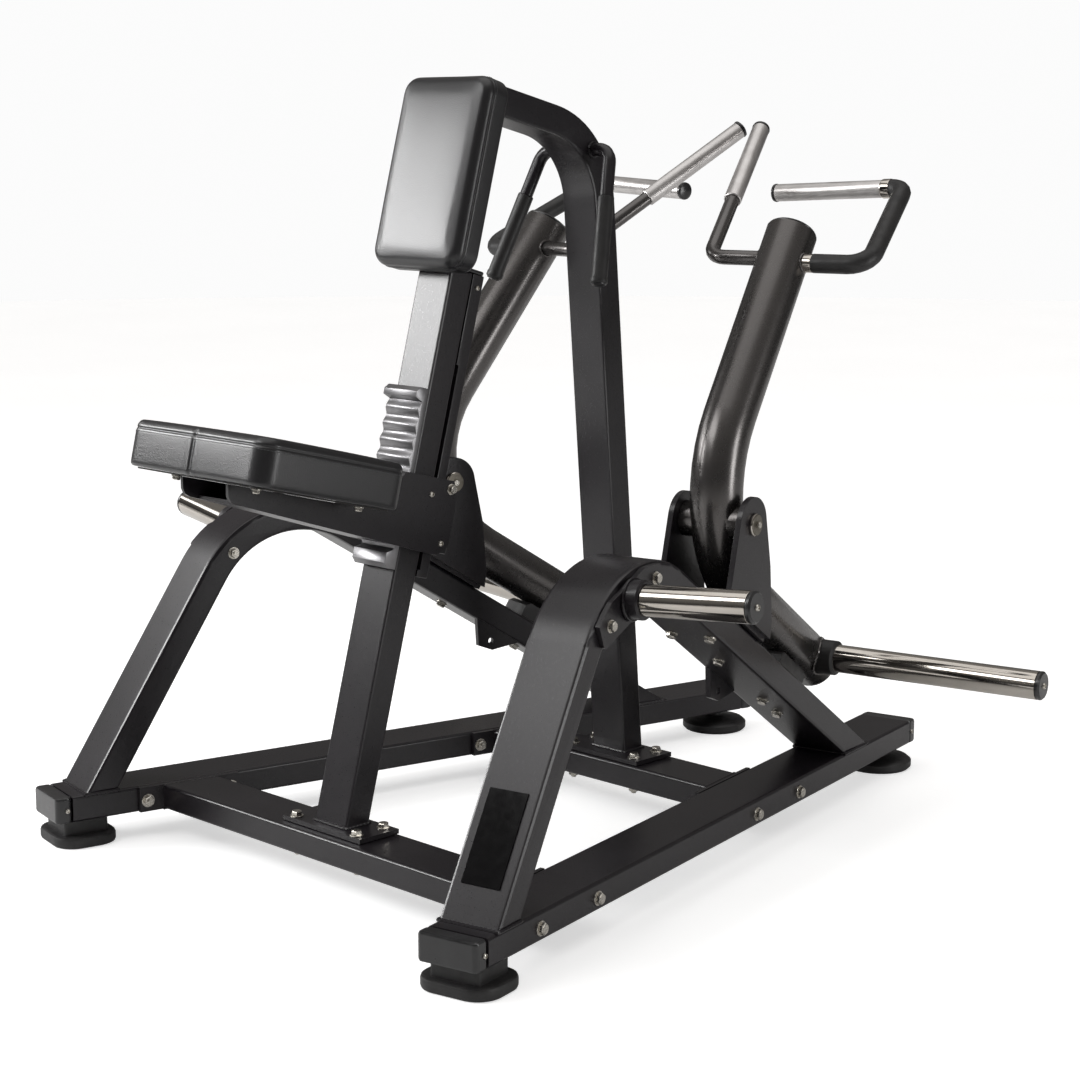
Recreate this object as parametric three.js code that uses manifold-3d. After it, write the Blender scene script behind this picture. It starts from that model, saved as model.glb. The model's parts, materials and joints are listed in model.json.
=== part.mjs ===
// Plate-loaded seated row machine with a chest pad and two independent lever arms.
// Units are millimetres. +X is the user's right, +Y is away from the seat, +Z is up.
// The base rails stand on the floor, and the machine is symmetric about X = 0.
import * as THREE from 'three';
import { mergeVertices } from 'three/addons/utils/BufferGeometryUtils.js';
import Module from 'manifold-3d';

const wasm = await Module();
wasm.setup();

// ---------------------------------------------------------------- driving dimensions
const GAP = 0.3; // clearance between pieces that touch
const WALL = 4; // wall of the steel tubes

const RAIL_SPLAY = THREE.MathUtils.degToRad(12); // the rails close towards the rear
const RAIL_FRONT_X = 512; // rail centre line at the front end
const RAIL_LENGTH = 1514;
const RAIL_WIDTH = 106;
const RAIL_BOTTOM = 45;
const RAIL_TOP = 91;
const RAIL_CAP = 30; // length of the moulded shoe on each rail end
const CROSS_FRONT_Y = 229; // centre lines of the two cross members
const CROSS_REAR_Y = 896;
const END_PLATE = { length: 190, height: 44, thickness: 8 };

const ARCH_DEPTH = 50; // arch tube across its bend; it is as wide as the rails
const ARCH_TOP = 565;
const ARCH_BEND = 214; // outer bend radius
const LEG_FRONT = 55; // where the leg's front face meets the rail
const LEG_ANGLE = THREE.MathUtils.degToRad(58); // leg above horizontal, leaning rearwards
const REAR_ANGLE = Math.PI / 2 - LEG_ANGLE; // rear tube below horizontal

const PIVOT = { y: 787, z: 579 }; // lever axle, in the plane of one side
const EAR = { radius: 46, inner: 59, thickness: 10 };
const PIN_RADIUS = 12.5;
const LEVER_RADIUS = 44.5;
const LEVER_BEND = 220; // centre-line radius, with the axle at the middle of the bend
const LEVER_UPPER_ANGLE = THREE.MathUtils.degToRad(53.8);
const LEVER_UPPER = 366; // straight length above the bend
const LEVER_LOWER = 322; // straight length below the bend
const HANDLE_DROP = 53; // handle cross tube below the lever's top end
const HANDLE_RADIUS = 13;
const SLEEVE_RADIUS = 16.5; // rubber-covered outer handle
const GRIP_RADIUS = 16;
const GRIP_LENGTH = 226;
const OUTER_GRIP_LENGTH = 220;
const OUTER_BENDS = [34, 30];

const HORN_RADIUS = 25; // 50 mm plate horns
const COLLAR_RADIUS = 31;
const STORAGE = { y: 407, z: 514, tip: 266, tilt: THREE.MathUtils.degToRad(3) };
const LOAD_HORN = { fromEnd: 48, tip: 446 };

const UPRIGHT = { width: 80, depth: 50, rearY: 929, lean: THREE.MathUtils.degToRad(4.7) };
const ARM_RISE = THREE.MathUtils.degToRad(13.2);
const UPRIGHT_CORNER = { y: 836, z: 1232 }; // where the rear face and the arm's top would meet
const UPRIGHT_BEND = 180; // outer bend radius

const POST_LEAN = THREE.MathUtils.degToRad(15.2);
const POST = { width: 80, depth: 50, frontY: 213.3, length: 934 };
const GUIDE = { front: 55, back: 75, low: 425, slotTop: 780 };
const RACK = { width: 81, thickness: 25, crest: 15, tooth: 5, low: 430, high: 730, foot: 34, head: 23, teeth: 9 };
const BASE_PLATE = 8;

const PAD = { width: 210, height: 321, thickness: 53, low: 920 };
const PAD_PLATE = { width: 120, thickness: 3, low: 929, high: 1205 };
const SEAT_TILT = THREE.MathUtils.degToRad(14);
const SEAT = { width: 344, depth: 295, thickness: 73, y: 99, z: 705.6 };
const SEAT_BOARD = 2.5;
const CARRIAGE = { half: 60, plate: 6 };

// ---------------------------------------------------------------- geometry helpers
const { sin, cos, tan, PI } = Math;

// Turns a closed three.js geometry into a solid for joining and cutting.
function toSolid(geometry) {
  const bare = geometry.clone();
  for (const name of Object.keys(bare.attributes)) {
    if (name !== 'position') bare.deleteAttribute(name);
  }
  const merged = mergeVertices(bare, 1e-4);
  return new wasm.Manifold(new wasm.Mesh({
    numProp: 3,
    vertProperties: new Float32Array(merged.attributes.position.array),
    triVerts: new Uint32Array(merged.index.array),
  }));
}

function toGeometry(solid) {
  const mesh = solid.getMesh();
  const geometry = new THREE.BufferGeometry();
  geometry.setAttribute('position', new THREE.BufferAttribute(Float32Array.from(mesh.vertProperties), 3));
  geometry.setIndex(new THREE.BufferAttribute(Uint32Array.from(mesh.triVerts), 1));
  return geometry;
}

function join(...geometries) {
  const solids = geometries.map(toSolid);
  return toGeometry(solids.reduce((whole, piece) => whole.add(piece)));
}

function cut(geometry, ...tools) {
  const solids = tools.map(toSolid);
  return toGeometry(solids.reduce((whole, tool) => whole.subtract(tool), toSolid(geometry)));
}

// A copy of a geometry reflected in the plane X = 0, with its faces still pointing out.
function mirrored(geometry) {
  const copy = (geometry.index ? geometry.toNonIndexed() : geometry.clone());
  const position = copy.attributes.position;
  for (let i = 0; i < position.count; i += 3) {
    for (let k = 0; k < 3; k += 1) position.setX(i + k, -position.getX(i + k));
    const swap = [position.getX(i), position.getY(i), position.getZ(i)];
    position.setXYZ(i, position.getX(i + 1), position.getY(i + 1), position.getZ(i + 1));
    position.setXYZ(i + 1, ...swap);
  }
  for (const name of Object.keys(copy.attributes)) {
    if (name !== 'position') copy.deleteAttribute(name);
  }
  return copy;
}

// An outline drawn in the Y-Z plane, extruded along X from x0 to x1 with rounded rims.
function acrossX(shape, x0, x1, rim = 0, curveSegments = 8) {
  const geometry = new THREE.ExtrudeGeometry(shape, {
    depth: x1 - x0 - 2 * rim,
    curveSegments,
    bevelEnabled: rim > 0,
    bevelThickness: rim,
    bevelSize: rim,
    bevelOffset: -rim,
    bevelSegments: 2,
  });
  geometry.translate(0, 0, x0 + rim);
  const axes = new THREE.Matrix4().makeBasis(
    new THREE.Vector3(0, 1, 0), new THREE.Vector3(0, 0, 1), new THREE.Vector3(1, 0, 0));
  return geometry.applyMatrix4(axes);
}

function polygon(points) {
  return new THREE.Shape(points.map(([a, b]) => new THREE.Vector2(a, b)));
}

function roundedRectangle(width, height, radius) {
  const w = width / 2;
  const h = height / 2;
  const shape = new THREE.Shape();
  shape.moveTo(-w + radius, -h);
  shape.lineTo(w - radius, -h);
  shape.absarc(w - radius, -h + radius, radius, -PI / 2, 0);
  shape.lineTo(w, h - radius);
  shape.absarc(w - radius, h - radius, radius, 0, PI / 2);
  shape.lineTo(-w + radius, h);
  shape.absarc(-w + radius, h - radius, radius, PI / 2, PI);
  shape.lineTo(-w, -h + radius);
  shape.absarc(-w + radius, -h + radius, radius, PI, 1.5 * PI);
  return shape;
}

// A section drawn in the X-Z plane, extruded along Y from y0 to y1.
function alongY(shape, y0, y1, curveSegments = 3) {
  const geometry = new THREE.ExtrudeGeometry(shape, { depth: y1 - y0, bevelEnabled: false, curveSegments });
  return geometry.rotateX(PI / 2).translate(0, y1, 0);
}

// A plan outline in the X-Y plane, extruded upwards from z0 to z1 with rounded rims.
function upwards(shape, z0, z1, rim = 0, curveSegments = 6) {
  const geometry = new THREE.ExtrudeGeometry(shape, {
    depth: z1 - z0 - 2 * rim,
    curveSegments,
    bevelEnabled: rim > 0,
    bevelThickness: rim,
    bevelSize: rim,
    bevelOffset: -rim,
    bevelSegments: 2,
  });
  return geometry.translate(0, 0, z0 + rim);
}

function block(width, depth, height) {
  return new THREE.BoxGeometry(width, depth, height);
}

// A turned piece about +X: the profile is [radius, x] pairs, starting and ending on the axis
// or closing on itself.
function turned(profile, segments = 24) {
  const points = profile.map(([radius, x]) => new THREE.Vector2(radius, x));
  return new THREE.LatheGeometry(points, segments).rotateZ(-PI / 2);
}

// A centre line of straight stretches joined by bends, given by its corners and bend radii.
class BentPath extends THREE.Curve {
  constructor(corners, radii, bendSteps = 6) {
    super();
    this.nodes = [corners[0].clone()];
    for (let i = 1; i < corners.length - 1; i += 1) {
      const back = corners[i - 1].clone().sub(corners[i]).normalize();
      const ahead = corners[i + 1].clone().sub(corners[i]).normalize();
      const half = back.angleTo(ahead) / 2;
      const middle = back.clone().add(ahead).normalize();
      const centre = corners[i].clone().addScaledVector(middle, radii[i - 1] / sin(half));
      const start = corners[i].clone().addScaledVector(back, radii[i - 1] / tan(half)).sub(centre);
      const axis = back.clone().cross(start).normalize();
      for (let k = 0; k <= bendSteps; k += 1) {
        const turn = (PI - 2 * half) * (k / bendSteps);
        this.nodes.push(start.clone().applyAxisAngle(axis, turn).add(centre));
      }
    }
    this.nodes.push(corners[corners.length - 1].clone());
    this.steps = this.nodes.length - 1;
  }

  getPoint(t, target = new THREE.Vector3()) {
    const place = Math.min(t, 1) * this.steps;
    const index = Math.min(Math.floor(place), this.steps - 1);
    return target.lerpVectors(this.nodes[index], this.nodes[index + 1], place - index);
  }

  // Steps fall on the nodes, so a straight stretch costs one step however long it is.
  getPointAt(u, target) {
    return this.getPoint(u, target);
  }

  getTangentAt(u, target = new THREE.Vector3()) {
    const index = Math.round(u * this.steps);
    const before = this.nodes[Math.max(index - 1, 0)];
    const here = this.nodes[index];
    const after = this.nodes[Math.min(index + 1, this.steps)];
    const first = index === 0 ? after.clone().sub(here).normalize() : here.clone().sub(before).normalize();
    const last = index === this.steps ? first : after.clone().sub(here).normalize();
    return target.copy(first).add(last).normalize();
  }
}

function roundTube(path, radius, segments = 12) {
  const circle = new THREE.Shape().absarc(0, 0, radius, 0, 2 * PI);
  return new THREE.ExtrudeGeometry(circle, {
    extrudePath: path, steps: path.steps, curveSegments: segments, bevelEnabled: false,
  });
}

// Places a geometry built about +X so that +X points along a direction from a point.
function aimed(geometry, from, to) {
  const direction = to.clone().sub(from).normalize();
  const turn = new THREE.Quaternion().setFromUnitVectors(new THREE.Vector3(1, 0, 0), direction);
  return geometry.applyQuaternion(turn).translate(from.x, from.y, from.z);
}

// ---------------------------------------------------------------- scene graph
const machine = new THREE.Group();
const sides = { right: new THREE.Group(), left: new THREE.Group() };
sides.right.position.x = RAIL_FRONT_X;
sides.right.rotation.z = RAIL_SPLAY;
sides.left.position.x = -RAIL_FRONT_X;
sides.left.rotation.z = -RAIL_SPLAY;
machine.add(sides.right, sides.left);

// The seat post's frame: +Y across the post towards the rear, +Z up along it.
const post = new THREE.Group();
post.position.set(0, POST.frontY, RAIL_TOP + GAP + BASE_PLATE);
post.rotation.x = -POST_LEAN;
machine.add(post);

const finishes = {
  frame: [0x35343a, 0.42, 0.55],
  lever: [0x5d5a59, 0.3, 0.8],
  chrome: [0xd8d6d0, 0.12, 1.0],
  aluminium: [0xc4c2c0, 0.35, 0.9],
  rubber: [0x211f22, 0.75, 0.0],
  plastic: [0x2a292c, 0.5, 0.0],
  leather: [0x26262a, 0.5, 0.0],
  board: [0x3a2f28, 0.8, 0.0],
  rack: [0x9b9ba0, 0.35, 0.7],
  plate: [0x17161a, 0.3, 0.2],
};

function addPiece(parent, name, finish, geometry) {
  const [color, roughness, metalness] = finishes[finish];
  const mesh = new THREE.Mesh(geometry, new THREE.MeshStandardMaterial({ color, roughness, metalness }));
  mesh.name = name;
  parent.add(mesh);
  return mesh;
}

// Adds a piece built for the right side, and its mirror image on the left.
function addPair(name, finish, geometry) {
  addPiece(sides.right, `${name}_right`, finish, geometry);
  addPiece(sides.left, `${name}_left`, finish, mirrored(geometry));
}

// ---------------------------------------------------------------- base frame
const railMiddle = (RAIL_TOP + RAIL_BOTTOM) / 2;
const railHeight = RAIL_TOP - RAIL_BOTTOM;

function rectangularTube(width, height, corner) {
  const section = roundedRectangle(width, height, corner);
  section.holes.push(roundedRectangle(width - 2 * WALL, height - 2 * WALL, corner - 2));
  return section;
}

function baseRail() {
  const section = rectangularTube(RAIL_WIDTH, railHeight, 6);
  return alongY(section, RAIL_CAP + GAP, RAIL_LENGTH - RAIL_CAP - GAP).translate(0, 0, railMiddle);
}

// A moulded shoe that closes a rail end, rounded towards its free face.
function railCap(y0, y1) {
  const shoe = upwards(roundedRectangle(RAIL_WIDTH, y1 - y0, 9), RAIL_BOTTOM, RAIL_TOP, 5, 3);
  return shoe.translate(0, (y0 + y1) / 2, 0);
}

function frontFoot() {
  const pad = upwards(roundedRectangle(134, 112, 40), 0, 20, 5, 5);
  const stub = upwards(roundedRectangle(88, 80, 8), 18, RAIL_BOTTOM - GAP, 0, 2);
  return join(pad, stub).translate(0, 58, 0);
}

function rearFoot() {
  const profile = [[0, 0], [60, 0], [65, 5], [65, 16], [58, 22], [20, 27], [16, 30],
    [16, RAIL_BOTTOM - GAP], [0, RAIL_BOTTOM - GAP]];
  return turned(profile, 28).rotateY(-PI / 2).translate(0, 1455, 0);
}

// A cross tube cut square to the two splayed rails, with a bolting plate welded on each end.
function crossMember(y) {
  const inner = RAIL_WIDTH / 2 + GAP;
  const section = roundedRectangle(104, railHeight - 2, 6);
  const bore = roundedRectangle(104 - 2 * WALL, railHeight - 2 - 2 * WALL, 4);
  const tube = alongY(section, -700, 700).rotateZ(PI / 2).translate(0, y, railMiddle);
  const hollow = alongY(bore, -700, 700).rotateZ(PI / 2).translate(0, y, railMiddle);
  const plates = [];
  const trims = [];
  for (const side of [1, -1]) {
    // Distance along the rail at which its inner face meets the tube's centre line.
    const along = (y + (RAIL_WIDTH / 2) * sin(RAIL_SPLAY)) / cos(RAIL_SPLAY);
    const place = (geometry) => geometry.rotateZ(side * RAIL_SPLAY).translate(side * RAIL_FRONT_X, 0, 0);
    const { length, height, thickness } = END_PLATE;
    const plate = block(thickness, length, height);
    plates.push(place(plate.translate(-side * (inner + thickness / 2), along, railMiddle)));
    trims.push(place(block(600, 1200, 200).translate(side * (300 - inner - thickness / 2), along, railMiddle)));
  }
  return cut(join(cut(tube, ...trims), ...plates), hollow);
}

addPair('base_rail', 'frame', baseRail());
addPair('rail_front_cap', 'plastic', railCap(0, RAIL_CAP));
addPair('rail_rear_cap', 'plastic', railCap(RAIL_LENGTH - RAIL_CAP, RAIL_LENGTH));
addPair('front_foot', 'rubber', frontFoot());
addPair('rear_foot', 'rubber', rearFoot());
addPiece(machine, 'front_cross_member', 'frame', crossMember(CROSS_FRONT_Y));
addPiece(machine, 'rear_cross_member', 'frame', crossMember(CROSS_REAR_Y));

// ---------------------------------------------------------------- side arches
// The arch rises from the rail as a leg, bends a quarter turn and runs down to the rail again.
const archCentre = {
  y: LEG_FRONT + (ARCH_TOP - ARCH_BEND - RAIL_TOP) / tan(LEG_ANGLE) + ARCH_BEND / sin(LEG_ANGLE),
  z: ARCH_TOP - ARCH_BEND,
};

// A point on the rear tube's top face: distance along it from the end of the bend, and height over it.
function onRearTube(along, over) {
  return [
    archCentre.y + (ARCH_BEND + over) * sin(REAR_ANGLE) + along * cos(REAR_ANGLE),
    archCentre.z + (ARCH_BEND + over) * cos(REAR_ANGLE) - along * sin(REAR_ANGLE),
  ];
}

// A point on the leg's front face: distance up from the rail, and distance out in front of it.
function onLeg(up, out) {
  return [
    LEG_FRONT + up * cos(LEG_ANGLE) - out * sin(LEG_ANGLE),
    RAIL_TOP + up * sin(LEG_ANGLE) + out * cos(LEG_ANGLE),
  ];
}

// Where a straight run that leaves the bend at a given angle comes down to a given height.
function archFoot(radius, angle, slope, footZ) {
  const z = archCentre.z + radius * sin(angle);
  return [archCentre.y + radius * cos(angle) + (footZ - z) / slope, footZ];
}

// The arch's side outline, set in from the tube's faces, with its feet at a given height.
function archOutline(inset, footZ) {
  const outer = ARCH_BEND - inset;
  const inner = ARCH_BEND - ARCH_DEPTH + inset;
  const legStart = PI - REAR_ANGLE;
  const rearStart = PI / 2 - REAR_ANGLE;
  const shape = new THREE.Shape();
  shape.moveTo(...archFoot(inner, legStart, tan(LEG_ANGLE), footZ));
  shape.lineTo(...archFoot(outer, legStart, tan(LEG_ANGLE), footZ));
  shape.absarc(archCentre.y, archCentre.z, outer, legStart, rearStart, true);
  shape.lineTo(...archFoot(outer, rearStart, -tan(REAR_ANGLE), footZ));
  shape.lineTo(...archFoot(inner, rearStart, -tan(REAR_ANGLE), footZ));
  shape.absarc(archCentre.y, archCentre.z, inner, rearStart, legStart, false);
  return shape;
}

const archHalf = RAIL_WIDTH / 2;

function archTube() {
  const skin = acrossX(archOutline(0, RAIL_TOP + GAP), -archHalf, archHalf, 7, 12);
  const bore = acrossX(archOutline(WALL, RAIL_TOP - 20), -archHalf + WALL, archHalf - WALL, 0, 12);
  // A drilled lug hangs from the rear tube's inner edge for elastic bands.
  const lug = polygon([onRearTube(340, -ARCH_DEPTH + 3), onRearTube(372, -ARCH_DEPTH - 42),
    onRearTube(404, -ARCH_DEPTH - 36), onRearTube(452, -ARCH_DEPTH + 3)]);
  const [holeY, holeZ] = onRearTube(392, -ARCH_DEPTH - 22);
  lug.holes.push(new THREE.Path().absarc(holeY, holeZ, 6, 0, 2 * PI));
  return join(cut(skin, bore), acrossX(lug, -archHalf + 1, -archHalf + 11, 0, 6));
}

// The machine's blank name plate, on the front of the right leg only.
function namePlate() {
  return acrossX(polygon([onLeg(60, GAP), onLeg(60, 2), onLeg(207, 2), onLeg(207, GAP)]), -34, 34);
}

// A horn and its parts lie along the storage axis, which tilts up away from the arch.
function onStorageAxis(geometry) {
  return geometry.rotateY(-STORAGE.tilt).translate(0, STORAGE.y, STORAGE.z);
}

const hornStart = archHalf + 34;

function hornTube(start, tip) {
  return turned([[21, start], [HORN_RADIUS, start], [HORN_RADIUS, tip], [21, tip], [21, start]], 24);
}

function hornCap(tip) {
  const end = tip + 9;
  const edge = HORN_RADIUS;
  return turned([[0, tip - 14], [20.5, tip - 14], [20.5, tip + GAP], [edge, tip + GAP],
    [edge, end - 3], [edge - 3, end], [0, end]], 24);
}

// Everything beyond the arch's outer faces, where the storage plate is trimmed off.
function beyondArch(inset) {
  const radius = ARCH_BEND - inset;
  const start = PI - REAR_ANGLE;
  const end = PI / 2 - REAR_ANGLE;
  const under = new THREE.Shape();
  under.moveTo(...archFoot(radius, start, tan(LEG_ANGLE), RAIL_TOP));
  under.lineTo(archCentre.y + radius * cos(start), archCentre.z + radius * sin(start));
  under.absarc(archCentre.y, archCentre.z, radius, start, end, true);
  under.lineTo(...archFoot(radius, end, -tan(REAR_ANGLE), RAIL_TOP));
  const around = block(4 * archHalf, ARCH_BEND * 2, ARCH_BEND * 2).translate(0, STORAGE.y, STORAGE.z);
  return cut(around, acrossX(under, -3 * archHalf, 3 * archHalf));
}

function storageFlange() {
  const angle = Math.atan2(52, 133); // the two bolts' slope
  const plate = acrossX(roundedRectangle(192, 58, 8), archHalf + GAP, archHalf + 8.5, 0, 3);
  plate.rotateX(angle).translate(0, STORAGE.y, STORAGE.z);
  const collar = turned([[0, archHalf + 6], [COLLAR_RADIUS, archHalf + 6], [COLLAR_RADIUS, hornStart - 3],
    [COLLAR_RADIUS - 3, hornStart - GAP], [0, hornStart - GAP]], 24);
  return join(cut(plate, beyondArch(4)), onStorageAxis(collar));
}

addPair('arch_tube', 'frame', archTube());
addPiece(sides.right, 'name_plate', 'plate', namePlate());
addPair('storage_flange', 'frame', storageFlange());
addPair('storage_horn', 'chrome', onStorageAxis(hornTube(hornStart, STORAGE.tip)));
addPair('storage_horn_cap', 'plastic', onStorageAxis(hornCap(STORAGE.tip)));

// ---------------------------------------------------------------- lever pivots and stops
// Distance along the rear tube of a point given by its place along the rail.
function alongRear(y) {
  return (y - onRearTube(0, 0)[0]) / cos(REAR_ANGLE);
}

function pivotBracket() {
  const low = (y) => onRearTube(alongRear(y) + 8 * tan(REAR_ANGLE), 8);
  const ear = new THREE.Shape();
  ear.moveTo(...low(845));
  ear.lineTo(...low(698));
  ear.absarc(PIVOT.y, PIVOT.z, EAR.radius, THREE.MathUtils.degToRad(163), THREE.MathUtils.degToRad(6), true);
  ear.lineTo(850, 500);
  ear.lineTo(858, 404);
  ear.holes.push(new THREE.Path().absarc(PIVOT.y, PIVOT.z, PIN_RADIUS + GAP, 0, 2 * PI));
  const outer = EAR.inner + EAR.thickness;
  const start = alongRear(706);
  const end = alongRear(846);
  const base = polygon([onRearTube(start, GAP), onRearTube(end, GAP), onRearTube(end, 13), onRearTube(start, 13)]);
  return join(acrossX(ear, EAR.inner, outer, 0, 10), acrossX(ear, -outer, -EAR.inner, 0, 10),
    acrossX(base, -EAR.inner - 1, EAR.inner + 1));
}

function pivotPin() {
  const ears = EAR.inner + EAR.thickness + GAP;
  return turned([[0, -ears - 6], [17, -ears - 6], [19, -ears - 4], [19, -ears], [PIN_RADIUS, -ears],
    [PIN_RADIUS, ears], [19, ears], [19, ears + 4], [17, ears + 6], [0, ears + 6]], 20)
    .translate(0, PIVOT.y, PIVOT.z);
}

// The lever's centre line, in the plane of one side.
const leverArc = (() => {
  const middle = (LEVER_UPPER_ANGLE - REAR_ANGLE) / 2;
  const centre = { y: PIVOT.y + LEVER_BEND * cos(middle), z: PIVOT.z + LEVER_BEND * sin(middle) };
  const half = (LEVER_UPPER_ANGLE + REAR_ANGLE) / 2;
  const corner = LEVER_BEND / sin(half);
  return { middle, y: centre.y - corner * cos(middle), z: centre.z - corner * sin(middle),
    tangent: LEVER_BEND / tan(half) };
})();

function onLeverUpper(fromBend) {
  const reach = leverArc.tangent + fromBend;
  return new THREE.Vector3(0, leverArc.y + reach * cos(LEVER_UPPER_ANGLE), leverArc.z + reach * sin(LEVER_UPPER_ANGLE));
}

function onLeverLower(fromBend) {
  const reach = leverArc.tangent + fromBend;
  return new THREE.Vector3(0, leverArc.y + reach * cos(REAR_ANGLE), leverArc.z - reach * sin(REAR_ANGLE));
}

function leverSolid(radius, extra, segments) {
  const corner = new THREE.Vector3(0, leverArc.y, leverArc.z);
  const corners = [onLeverUpper(LEVER_UPPER + extra), corner, onLeverLower(LEVER_LOWER + extra)];
  return roundTube(new BentPath(corners, [LEVER_BEND], 12), radius, segments);
}

function leverTube() {
  const hub = EAR.inner - 0.6;
  const boss = turned([[0, -hub], [30, -hub], [30, hub], [0, hub]], 24).translate(0, PIVOT.y, PIVOT.z);
  const bore = turned([[0, -80], [PIN_RADIUS + GAP, -80], [PIN_RADIUS + GAP, 80], [0, 80]], 20)
    .translate(0, PIVOT.y, PIVOT.z);
  const shell = cut(leverSolid(LEVER_RADIUS, 0, 14), leverSolid(LEVER_RADIUS - WALL, 30, 14));
  return cut(join(shell, boss), bore);
}

// A pressed cap closes each end of the lever tube.
function leverCap(end, inside) {
  const rim = LEVER_RADIUS - 1.5;
  const cap = turned([[0, -12], [LEVER_RADIUS - WALL - 1, -12], [LEVER_RADIUS - WALL - 1, GAP], [rim, GAP],
    [rim, 3], [rim - 2, 5], [0, 5]], 28);
  return aimed(cap, end, end.clone().multiplyScalar(2).sub(inside));
}

// Pulled down by its own weight, the lever rests on this rubber block on the rear tube.
function stopBumper() {
  const axisOver = (() => {
    const [y, z] = onRearTube(0, 0);
    const lower = onLeverLower(0);
    return (lower.y - y) * sin(REAR_ANGLE) + (lower.z - z) * cos(REAR_ANGLE);
  })();
  const top = axisOver - LEVER_RADIUS - GAP;
  const middle = alongRear(1003);
  return acrossX(polygon([onRearTube(middle - 54, GAP), onRearTube(middle + 54, GAP),
    onRearTube(middle + 54, top - 8), onRearTube(middle + 46, top), onRearTube(middle - 46, top),
    onRearTube(middle - 54, top - 8)]), -33, 33, 2);
}

addPair('pivot_bracket', 'frame', pivotBracket());
addPair('pivot_pin', 'chrome', pivotPin());
addPair('stop_bumper', 'rubber', stopBumper());
addPair('lever_tube', 'lever', leverTube());
addPair('lever_top_cap', 'plastic', leverCap(onLeverUpper(LEVER_UPPER), onLeverUpper(0)));
addPair('lever_bottom_cap', 'plastic', leverCap(onLeverLower(LEVER_LOWER), onLeverLower(0)));

// ---------------------------------------------------------------- load horns and handles
const leverKeepOut = () => leverSolid(LEVER_RADIUS + GAP, 30, 24);

function loadHorn() {
  const at = onLeverLower(LEVER_LOWER - LOAD_HORN.fromEnd);
  const collarEnd = LEVER_RADIUS + 26;
  const collar = turned([[0, 20], [COLLAR_RADIUS, 20], [COLLAR_RADIUS, collarEnd - 4],
    [COLLAR_RADIUS - 4, collarEnd], [0, collarEnd]], 24);
  const tube = turned([[21, collarEnd - 6], [HORN_RADIUS, collarEnd - 6], [HORN_RADIUS, LOAD_HORN.tip],
    [21, LOAD_HORN.tip], [21, collarEnd - 6]], 24);
  return cut(join(collar, tube).translate(0, at.y, at.z), leverKeepOut());
}

function loadHornCap() {
  const at = onLeverLower(LEVER_LOWER - LOAD_HORN.fromEnd);
  return hornCap(LOAD_HORN.tip).translate(0, at.y, at.z);
}

const handleRoot = onLeverUpper(LEVER_UPPER - HANDLE_DROP);
const innerElbow = new THREE.Vector3(-143, handleRoot.y, handleRoot.z);
const innerEnd = new THREE.Vector3(-214, 1331, 1223);
const outerRoot = onLeverUpper(LEVER_UPPER - HANDLE_DROP - 7);
const outerElbow = new THREE.Vector3(162, outerRoot.y, outerRoot.z);
const outerCorner = new THREE.Vector3(121, 1236, 1121);
const outerEnd = new THREE.Vector3(-139, 1258, 1109);

// The handle tube is coped against the lever's side and ends inside its grip.
function handleTube(corners, radii, radius) {
  return cut(roundTube(new BentPath(corners, radii), radius, 7), leverKeepOut());
}

// A hollow grip of a given length, ending at a point on the handle's last straight stretch.
function handGrip(from, to, length, inner, outer) {
  const reach = from.distanceTo(to);
  const profile = [[inner, reach - length], [outer - 1.5, reach - length], [outer, reach - length + 1.5],
    [outer, reach - 1.5], [outer - 1.5, reach], [inner, reach], [inner, reach - length]];
  return aimed(turned(profile, 16), from, to);
}

function outerHandle() {
  const neck = outerCorner.clone().lerp(outerEnd, 1 - (OUTER_GRIP_LENGTH - 2) / outerCorner.distanceTo(outerEnd));
  const core = handleTube([outerRoot, outerElbow, outerCorner, outerEnd], OUTER_BENDS, HANDLE_RADIUS);
  const sleeveStart = outerRoot.clone().setX(LEVER_RADIUS + 16);
  const sleeveEnd = neck.clone().lerp(outerCorner, 0.25);
  const sleeve = roundTube(new BentPath([sleeveStart, outerElbow, outerCorner, sleeveEnd], OUTER_BENDS), SLEEVE_RADIUS, 7);
  return join(core, sleeve);
}

addPair('load_horn', 'chrome', loadHorn());
addPair('load_horn_cap', 'plastic', loadHornCap());
addPair('inner_handle', 'lever', handleTube([handleRoot, innerElbow, innerEnd], [34], HANDLE_RADIUS));
addPair('inner_grip', 'aluminium', handGrip(innerElbow, innerEnd, GRIP_LENGTH, HANDLE_RADIUS + GAP, GRIP_RADIUS));
addPair('outer_handle', 'rubber', outerHandle());
addPair('outer_grip', 'aluminium', handGrip(outerCorner, outerEnd, OUTER_GRIP_LENGTH, HANDLE_RADIUS + GAP, GRIP_RADIUS));

// ---------------------------------------------------------------- upright with its forward arm
const plateTop = RAIL_TOP + GAP + BASE_PLATE;

function basePlate(y0, y1, halfWidth) {
  return block(2 * halfWidth, y1 - y0, BASE_PLATE).translate(0, (y0 + y1) / 2, RAIL_TOP + GAP + BASE_PLATE / 2);
}

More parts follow.
